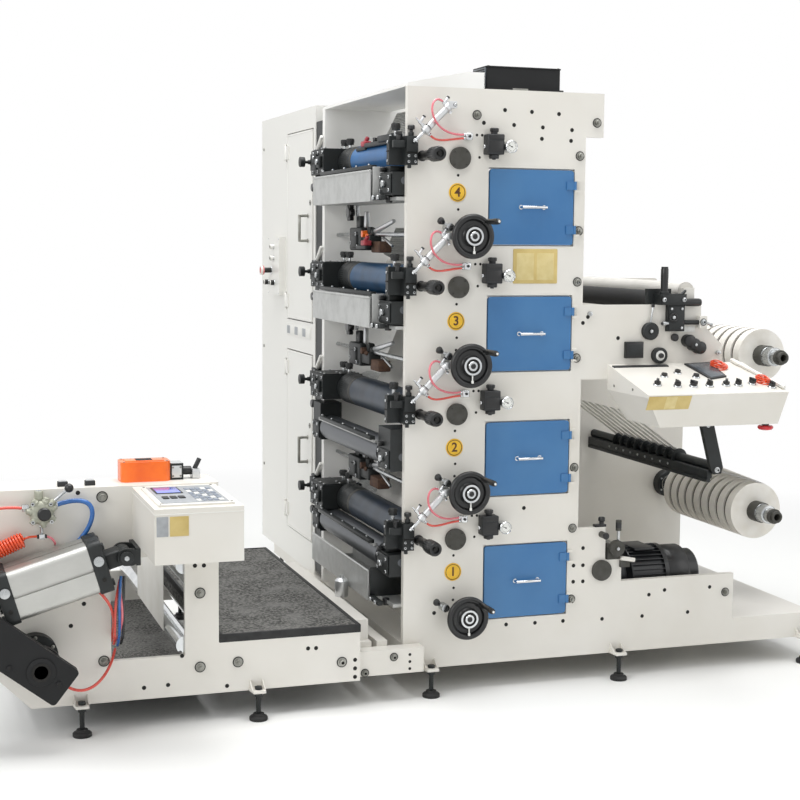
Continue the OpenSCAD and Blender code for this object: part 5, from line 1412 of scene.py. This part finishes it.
def curve_points(a, b, c, d, count):
    """Points of a smooth curve that leaves a towards b and comes to d from c."""
    out = []
    for i in range(count + 1):
        t = i / count
        s = 1 - t
        out.append(s ** 3 * a + 3 * s * s * t * b + 3 * s * t * t * c + t ** 3 * d)
    return out


def dress_air_coil():
    """One line: a lead from the T joint, the turns that swell and shrink, and a lead to the elbow."""
    first, last = COIL_ENDS
    axis = (last - first).normalized()
    side = axis.cross(Y).normalized()
    across = axis.cross(side)
    steps = COIL_TURNS * COIL_STEPS
    points = curve_points(COIL_FROM, COIL_FROM - 20 * X, first - 16 * axis, first, 8)
    for i in range(1, steps):
        a = 2 * math.pi * i / COIL_STEPS
        grown = min(1, i / COIL_RAMP, (steps - i) / COIL_RAMP)
        out = COIL_RADIUS * grown * grown * (3 - 2 * grown)
        points.append(first + (last - first) * i / steps + out * (math.cos(a) * side + math.sin(a) * across))
    points += curve_points(last, last + 16 * axis, COIL_TO + 12 * X, COIL_TO, 8)
    line = bpy.data.curves.new("coiled_air_line", "CURVE")
    line.dimensions = "3D"
    line.bevel_depth = COIL_WIRE * MM
    line.bevel_resolution = 2
    line.use_fill_caps = True
    spline = line.splines.new("POLY")
    spline.points.add(len(points) - 1)
    for knot, p in zip(spline.points, points):
        knot.co = (*(p * MM + TOWER), 1)
    line.materials.append(bpy.data.materials["orange_pu_tube"])
    piece = bpy.data.objects.new("coiled_air_line", line)
    bpy.context.scene.collection.objects.link(piece)
    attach(piece, "root")
    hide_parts("air_coil")


def dress_operator_box():
    """Panel with display and keys on the operator box, and the fittings of the guide motor."""
    made = Made("operator_panel", "root", "cabinet_enamel", "key_grey", "keypad_blue", "lcd_glass",
                "black_abs", "zinc_plated_steel", "hole_shadow", "white_dial", "brass_label")
    made.put(slab((-968, -732), (-488, -142), (832, 838), 5, 3), 0)
    made.put(slab((-956, -744), (-476, -154), (837.4, 839.4), 2), 1)
    made.put(slab((-946, -858), (-300, -178), (839, 841.4), 1.5), 4)
    made.put(slab((-940, -864), (-292, -186), (841, 842), 0.6), 3)
    for i in range(5):
        for j in range(6):
            x, y = -842 + i * 18, -460 + j * 44
            made.put(slab((x, x + 14), (y, y + 32), (839, 841.6), 1.2), 2 if (i + j) % 4 else 7)
    for i in range(3):
        made.put(slab((-940 + i * 26, -920 + i * 26), (-400, -360), (839, 843), 1.5), 4)
    made.each([(x, y, 838) for x in (-962, -738) for y in (-482, -148)], 5, Z, 4, 2, 0.6, 14)
    # Folded seam of the lid, two blank plates, glands below
    made.put(slab((-991, -708), (-531, -529), (812, 815), 0.6), 0)
    made.put(slab((-991.2, -989), (-528, -82), (812, 815), 0.6), 0)
    made.put(slab((-984, -948), (-531.4, -529.6), (744, 806), 0.4), 1)
    made.put(slab((-943, -884), (-531.4, -529.6), (744, 806), 0.4), 8)
    for x, y in ((-930, -180), (-880, -180), (-950, -420)):
        made.bar(4, at(x, y, 655, -Z), 12, 12, 2, 6)
        made.bar(4, at(x, y, 655, -Z), 9, 20, 2, 20)
    made.each([(x, -470, 655) for x in (-870, -838)], 5, -Z, 6, 3, 0.8, 16)
    made.down()

    made = Made("guide_motor_fittings", "root", "black_abs", "orange_abs", "zinc_plated_steel", "hole_shadow",
                "anodised_aluminium", "moulded_phenolic")
    made.put(slab((-998, -866), (6, 74), (902, 905.4), 1.5), 1)
    # A dark patch on the orange top: painted shade for the hollow in its middle
    made.put(slab((-960, -904), (16, 62), (904.6, 906.6), 1), 3)
    made.each([(x, y, 903) for x in (-1004, -858) for y in (2, 78)], 2, Z, 4.5, 2, 0.6, 14)
    made.put(slab((-844, -802), (12, 68), (889, 894), 2), 4)
    made.put(slab((-840, -806), (9, 12), (842, 884), 1.5), 4)
    made.each([(x, 10, z) for x in (-836, -810) for z in (848, 878)], 2, -Y, 3.4, 3, 0.8, 12)
    made.bar(5, at(-802, 40, 862, X), 15, 34, 2, 28)
    made.put(slab((-768, -740), (16, 64), (835, 870), 4), 4)
    made.bar(0, at(-758, 30, 868, (0.45, 0, 0.9)), 8, 40, 2, 20)
    for x in (-1230, -1140):
        made.put(slab((x, x + 34), (-40, -12), (835, 851), 2), 0)
        made.put(slab((x + 4, x + 30), (-36, -16), (850, 855), 1.5), 4)
    made.down()


# Feet of the base: place, and 1 or -1 for the side of the base that the lug is welded to
FEET = ((-1169, -112, 1), (-565, -112, 1), (-1169, 1382, -1), (-565, 1382, -1), (100, -32, 1), (860, -32, 1),
        (1680, -32, 1), (1680, 1136, -1), (860, 1136, -1))


def dress_feet():
    """Rubber pads, threaded spindles with nuts, and the welded lugs that take them."""
    made = Made("levelling_pads", "root", "foot_rubber", "oxide_blackened_casting", "stove_enamel",
                "zinc_plated_steel")
    for x, y, side in FEET:
        here = shift((x, y, 0))
        made.put(lathe([(0, 0), (31, 0), (32, 1.5), (32, 11), (29, 14.5), (20, 17), (19, 24), (0, 24)], 40),
                 0, here)
        made.bar(1, here @ shift((0, 0, 20)), 8.2, 100, 1, 20)
        for i in range(14):
            made.put(tube_ring(8, 1, 16, 6), 1, here @ shift((0, 0, 30 + i * 4.6)))
        made.bar(1, here @ shift((0, 0, 84)), 15, 12, 1.5, 6)
        made.bar(1, here @ shift((0, 0, 108)), 14, 11, 1.5, 6)
        lug = [(-28, side * 32), (-22, -side * 24), (22, -side * 24), (28, side * 32)]
        made.put(prism(lug if side < 0 else lug[::-1], 10, 1), 2, here @ shift((0, 0, 98)))
        rib = [(0, 0), (40, 0), (0, 26)]
        for dx in (-24, 20):
            upright = Matrix(((0, 0, 1, 0), (-side, 0, 0, 0), (0, 1, 0, 0), (0, 0, 0, 1)))
            made.put(prism(rib, 4, 0.5), 2, here @ shift((dx, side * 32, 108)) @ upright)
    for x in (90, 430):
        made.put(lathe([(0, 0), (31, 0), (32, 1.5), (32, 14), (24, 18), (9, 20), (9, 98)], 40), 0,
                 shift((x, 2154, 0)))
    made.down(replaces=["levelling_feet"])


def dress_platform():
    """Moulded edging round the walking mat."""
    made = Made("mat_edging", "root", "foot_rubber", "zinc_plated_steel")
    x, y, z = (-695, -187), (-80, 1350), (274, 303)
    for a, b in (((x[0], x[0] + 12), y), ((x[1] - 12, x[1] + 2), y)):
        made.put(slab(a, b, z, 2), 0)
    for b in ((y[0] - 1, y[0] + 11), (y[1] - 11, y[1])):
        made.put(slab((x[0], x[1] + 2), b, z, 2), 0)
    made.down()


# ---------------------------------------------------------------- stage

CAMERA_AT = (-1756.05, -5159.19, 1658.28)
CAMERA_AXES = ((0.9480, -0.3183, 0.0085), (0.0249, 0.1009, 0.9946), (-0.3174, -0.9426, 0.1036))


def set_camera(lens):
    """The main camera, a little left of the operator's side."""
    data = bpy.data.cameras.new("camera")
    data.lens = lens
    data.sensor_width = 36
    camera = bpy.data.objects.new("camera", data)
    turn = Matrix(CAMERA_AXES).transposed().to_quaternion().to_matrix().to_4x4()
    camera.matrix_world = shift(Vector(CAMERA_AT) * MM + TOWER) @ turn
    bpy.context.scene.collection.objects.link(camera)
    bpy.context.scene.camera = camera


def seen_ray(tree):
    """1 on rays that reach the eye straight, by a reflection or through glass."""
    path = node(tree, "ShaderNodeLightPath")
    first = node(tree, "ShaderNodeMath", {"operation": "MAXIMUM"},
                 links={0: path.outputs["Is Camera Ray"], 1: path.outputs["Is Glossy Ray"]})
    both = node(tree, "ShaderNodeMath", {"operation": "MAXIMUM"},
                links={0: first.outputs[0], 1: path.outputs["Is Transmission Ray"]})
    return both.outputs[0]


def set_floor(reach):
    """A pale floor that keeps the shadow and fades into the white backdrop."""
    tree, shader, place = start("pale_floor")
    shader.inputs["Base Color"].default_value = linear("#F6F6F4")
    shader.inputs["Roughness"].default_value = 0.7
    shader.inputs["Specular IOR Level"].default_value = 0.1
    away = node(tree, "ShaderNodeVectorMath", {"operation": "LENGTH"}, links={0: place})
    fade = between(tree, away.outputs["Value"], 0.2 * reach, 0.35 * reach)
    hidden = node(tree, "ShaderNodeMath", {"operation": "MULTIPLY"}, links={0: fade, 1: seen_ray(tree)})
    white = node(tree, "ShaderNodeEmission", values={"Color": (1, 1, 1, 1), "Strength": 1.0})
    mix = node(tree, "ShaderNodeMixShader",
               links={0: hidden.outputs[0], 1: shader.outputs["BSDF"], 2: white.outputs["Emission"]})
    output = next(n for n in tree.nodes if n.type == "OUTPUT_MATERIAL")
    tree.links.new(mix.outputs["Shader"], output.inputs["Surface"])
    bm = bmesh.new()
    bmesh.ops.create_grid(bm, x_segments=1, y_segments=1, size=reach)
    mesh = bpy.data.meshes.new("floor")
    bm.to_mesh(mesh)
    bm.free()
    mesh.materials.append(bpy.data.materials["pale_floor"])
    floor = bpy.data.objects.new("floor", mesh)
    bpy.context.scene.collection.objects.link(floor)


def set_world(strength):
    """Even light from all round, behind which the eye sees white."""
    world = bpy.data.worlds.new("studio")
    world.use_nodes = True
    tree = world.node_tree
    tree.nodes.clear()
    soft = node(tree, "ShaderNodeBackground", values={"Color": linear("#F4F6F8"), "Strength": strength})
    white = node(tree, "ShaderNodeBackground", values={"Color": (1, 1, 1, 1), "Strength": 1.0})
    mix = node(tree, "ShaderNodeMixShader", links={0: seen_ray(tree), 1: soft.outputs[0],
                                                   2: white.outputs[0]})
    node(tree, "ShaderNodeOutputWorld", links={"Surface": mix.outputs[0]})
    bpy.context.scene.world = world


def set_lamp(name, place, aim, size, watts):
    """A square soft lamp that shines at a point."""
    data = bpy.data.lights.new(name, "AREA")
    data.shape = "SQUARE"
    data.size = size
    data.energy = watts
    lamp = bpy.data.objects.new(name, data)
    look = Vector(aim) - Vector(place)
    lamp.matrix_world = shift(place) @ look.to_track_quat("-Z", "Y").to_matrix().to_4x4()
    bpy.context.scene.collection.objects.link(lamp)


# ---------------------------------------------------------------- add-on

class PRESS_PG_colours(PropertyGroup):
    """Colours of the painted parts."""
    ivory: FloatVectorProperty(name="Ivory enamel",
                               description="Stove enamel of the side plates and the base",
                               subtype="COLOR", size=3, min=0, max=1, default=linear("#E6E3DC")[:3])
    ivory_shade: FloatVectorProperty(name="Ivory mottle", description="Deeper tone that the ivory drifts to",
                                     subtype="COLOR", size=3, min=0, max=1, default=linear("#DEDAD1")[:3])
    blue: FloatVectorProperty(name="Door blue", description="Stove enamel of the access doors",
                              subtype="COLOR", size=3, min=0, max=1, default=linear("#3F76A8")[:3])
    orange: FloatVectorProperty(name="Housing orange", description="Moulded housing of the web guide",
                                subtype="COLOR", size=3, min=0, max=1, default=linear("#FF7A20")[:3])


class PRESS_PG_stage(PropertyGroup):
    """Camera, floor and light."""
    lens: FloatProperty(name="Lens", description="Focal length of the camera on a 36 mm sensor",
                        subtype="DISTANCE_CAMERA", default=68.749, min=20, max=200)
    floor: FloatProperty(name="Floor", description="Half the width of the floor", unit="LENGTH", default=14.0,
                         min=4, max=40)
    sky: FloatProperty(name="Room light", description="Strength of the even light from all round",
                       default=0.5, min=0, max=2)
    key: FloatProperty(name="Key lamp", description="Power of the large lamp at the front left",
                       subtype="POWER", default=230.0, min=0, max=3000)
    fill: FloatProperty(name="Fill lamp", description="Power of the lamp at the front right",
                        subtype="POWER", default=30.0, min=0, max=3000)
    top: FloatProperty(name="Top lamp", description="Power of the broad lamp overhead",
                       subtype="POWER", default=380.0, min=0, max=3000)


class PRESS_OT_finishes(Operator):
    """Makes the materials and puts them on the pieces of the frame"""
    bl_idname = "press.finishes"
    bl_label = "Finishes"

    def execute(self, context):
        make_finishes(context.scene.press_colours)
        finish_nodes()
        return {"FINISHED"}


class PRESS_OT_panel(Operator):
    """Screws, holes, station badges and the blank rating plate"""
    bl_idname = "press.panel"
    bl_label = "Front plate"

    def execute(self, context):
        dress_panel()
        return {"FINISHED"}


class PRESS_OT_doors(Operator):
    """Handles of the blue doors, and the painted highlight round their openings"""
    bl_idname = "press.doors"
    bl_label = "Access doors"

    def execute(self, context):
        dress_doors()
        return {"FINISHED"}


class PRESS_OT_handwheels(Operator):
    """Register handwheels with their dials and crank grips"""
    bl_idname = "press.handwheels"
    bl_label = "Handwheels"

    def execute(self, context):
        dress_handwheels()
        return {"FINISHED"}


class PRESS_OT_grips(Operator):
    """Impression grips and register locks"""
    bl_idname = "press.grips"
    bl_label = "Grips"

    def execute(self, context):
        dress_grips()
        return {"FINISHED"}


class PRESS_OT_regulators(Operator):
    """Air regulators with their gauges"""
    bl_idname = "press.regulators"
    bl_label = "Regulators"

    def execute(self, context):
        dress_regulators()
        return {"FINISHED"}


class PRESS_OT_cylinders(Operator):
    """Throw-off cylinders on the front plate"""
    bl_idname = "press.cylinders"
    bl_label = "Air cylinders"

    def execute(self, context):
        dress_cylinders()
        return {"FINISHED"}


class PRESS_OT_bearings(Operator):
    """Knobs, screws and covers of the roller bearings"""
    bl_idname = "press.bearings"
    bl_label = "Bearings"

    def execute(self, context):
        dress_bearings()
        return {"FINISHED"}


class PRESS_OT_inking(Operator):
    """Doctor blades, pans and side-lay clamps"""
    bl_idname = "press.inking"
    bl_label = "Inking"

    def execute(self, context):
        dress_inking()
        return {"FINISHED"}


class PRESS_OT_hoods(Operator):
    """Slotted fronts of the hot air hoods"""
    bl_idname = "press.hoods"
    bl_label = "Dryer hoods"

    def execute(self, context):
        dress_hoods()
        return {"FINISHED"}


class PRESS_OT_cabinet(Operator):
    """Handles, locks, blank plates and the switch strip"""
    bl_idname = "press.cabinet"
    bl_label = "Electric cabinet"

    def execute(self, context):
        dress_cabinet()
        return {"FINISHED"}


class PRESS_OT_head(Operator):
    """Blower and top cover"""
    bl_idname = "press.head"
    bl_label = "Head"

    def execute(self, context):
        dress_head()
        return {"FINISHED"}


class PRESS_OT_rewinder(Operator):
    """Nip levers, reel shafts, collars and slitting guides"""
    bl_idname = "press.rewinder"
    bl_label = "Rewinder"

    def execute(self, context):
        dress_rewinder()
        return {"FINISHED"}


class PRESS_OT_motor(Operator):
    """Winding motor and the fittings on the step of the front plate"""
    bl_idname = "press.motor"
    bl_label = "Motor"

    def execute(self, context):
        dress_motor()
        return {"FINISHED"}


class PRESS_OT_desk(Operator):
    """Switches, panels and stop button"""
    bl_idname = "press.desk"
    bl_label = "Control desk"

    def execute(self, context):
        dress_desk()
        return {"FINISHED"}


class PRESS_OT_unwinder(Operator):
    """Plate screws, lift cylinder and arms"""
    bl_idname = "press.unwinder"
    bl_label = "Unwinder"

    def execute(self, context):
        dress_unwinder()
        return {"FINISHED"}


class PRESS_OT_air(Operator):
    """Valve manifold, fittings and pressure tubes"""
    bl_idname = "press.air"
    bl_label = "Air lines"

    def execute(self, context):
        dress_air_coil()
        dress_manifold()
        dress_tubes()
        return {"FINISHED"}


class PRESS_OT_operator_box(Operator):
    """Keypad, display and web guide housing"""
    bl_idname = "press.operator_box"
    bl_label = "Operator box"

    def execute(self, context):
        dress_operator_box()
        return {"FINISHED"}


class PRESS_OT_feet(Operator):
    """Levelling feet and the edging of the walking mat"""
    bl_idname = "press.feet"
    bl_label = "Feet and mat"

    def execute(self, context):
        dress_feet()
        dress_platform()
        return {"FINISHED"}


class PRESS_OT_stage(Operator):
    """Camera, floor, backdrop and lamps"""
    bl_idname = "press.stage"
    bl_label = "Stage"

    def execute(self, context):
        look = context.scene.press_stage
        set_camera(look.lens)
        set_floor(look.floor)
        set_world(look.sky)
        set_lamp("key", (-7.0, -4.0, 5.0), (0, 0, 1.0), 4.0, look.key)
        set_lamp("fill", (4.4, -4.2, 3.0), (0.2, -0.2, 1.0), 3.0, look.fill)
        set_lamp("top", (0, -0.6, 6.2), (0, 0, 0), 5.0, look.top)
        context.scene.view_settings.view_transform = "Standard"
        return {"FINISHED"}


OPERATORS = (PRESS_OT_finishes, PRESS_OT_panel, PRESS_OT_doors, PRESS_OT_handwheels,
             PRESS_OT_grips, PRESS_OT_regulators, PRESS_OT_cylinders, PRESS_OT_bearings,
             PRESS_OT_inking, PRESS_OT_hoods, PRESS_OT_cabinet, PRESS_OT_head,
             PRESS_OT_rewinder, PRESS_OT_motor, PRESS_OT_desk, PRESS_OT_unwinder,
             PRESS_OT_air, PRESS_OT_operator_box, PRESS_OT_feet, PRESS_OT_stage)


class PRESS_PT_panel(Panel):
    """Lists the sizes and colours, and the pieces in the order they are made"""
    bl_idname = "PRESS_PT_panel"
    bl_label = "Press"
    bl_space_type = "VIEW_3D"
    bl_region_type = "UI"
    bl_category = "Press"

    def draw(self, context):
        for group in (context.scene.press_colours, context.scene.press_stage):
            for name in group.__annotations__:
                self.layout.prop(group, name)
        for made in OPERATORS:
            self.layout.operator(made.bl_idname)


CLASSES = (PRESS_PG_colours, PRESS_PG_stage, *OPERATORS, PRESS_PT_panel)


def register():
    """Registers the classes and hangs the settings on the scene."""
    for made in CLASSES:
        bpy.utils.register_class(made)
    bpy.types.Scene.press_colours = PointerProperty(type=PRESS_PG_colours)
    bpy.types.Scene.press_stage = PointerProperty(type=PRESS_PG_stage)


def unregister():
    """Takes the settings and the classes away again."""
    del bpy.types.Scene.press_stage
    del bpy.types.Scene.press_colours
    for made in reversed(CLASSES):
        bpy.utils.unregister_class(made)


def main():
    """Makes the whole dressing in the panel's order."""
    register()
    for made in OPERATORS:
        group, name = made.bl_idname.split(".")
        getattr(getattr(bpy.ops, group), name)()


if __name__ == "__main__":
    main()
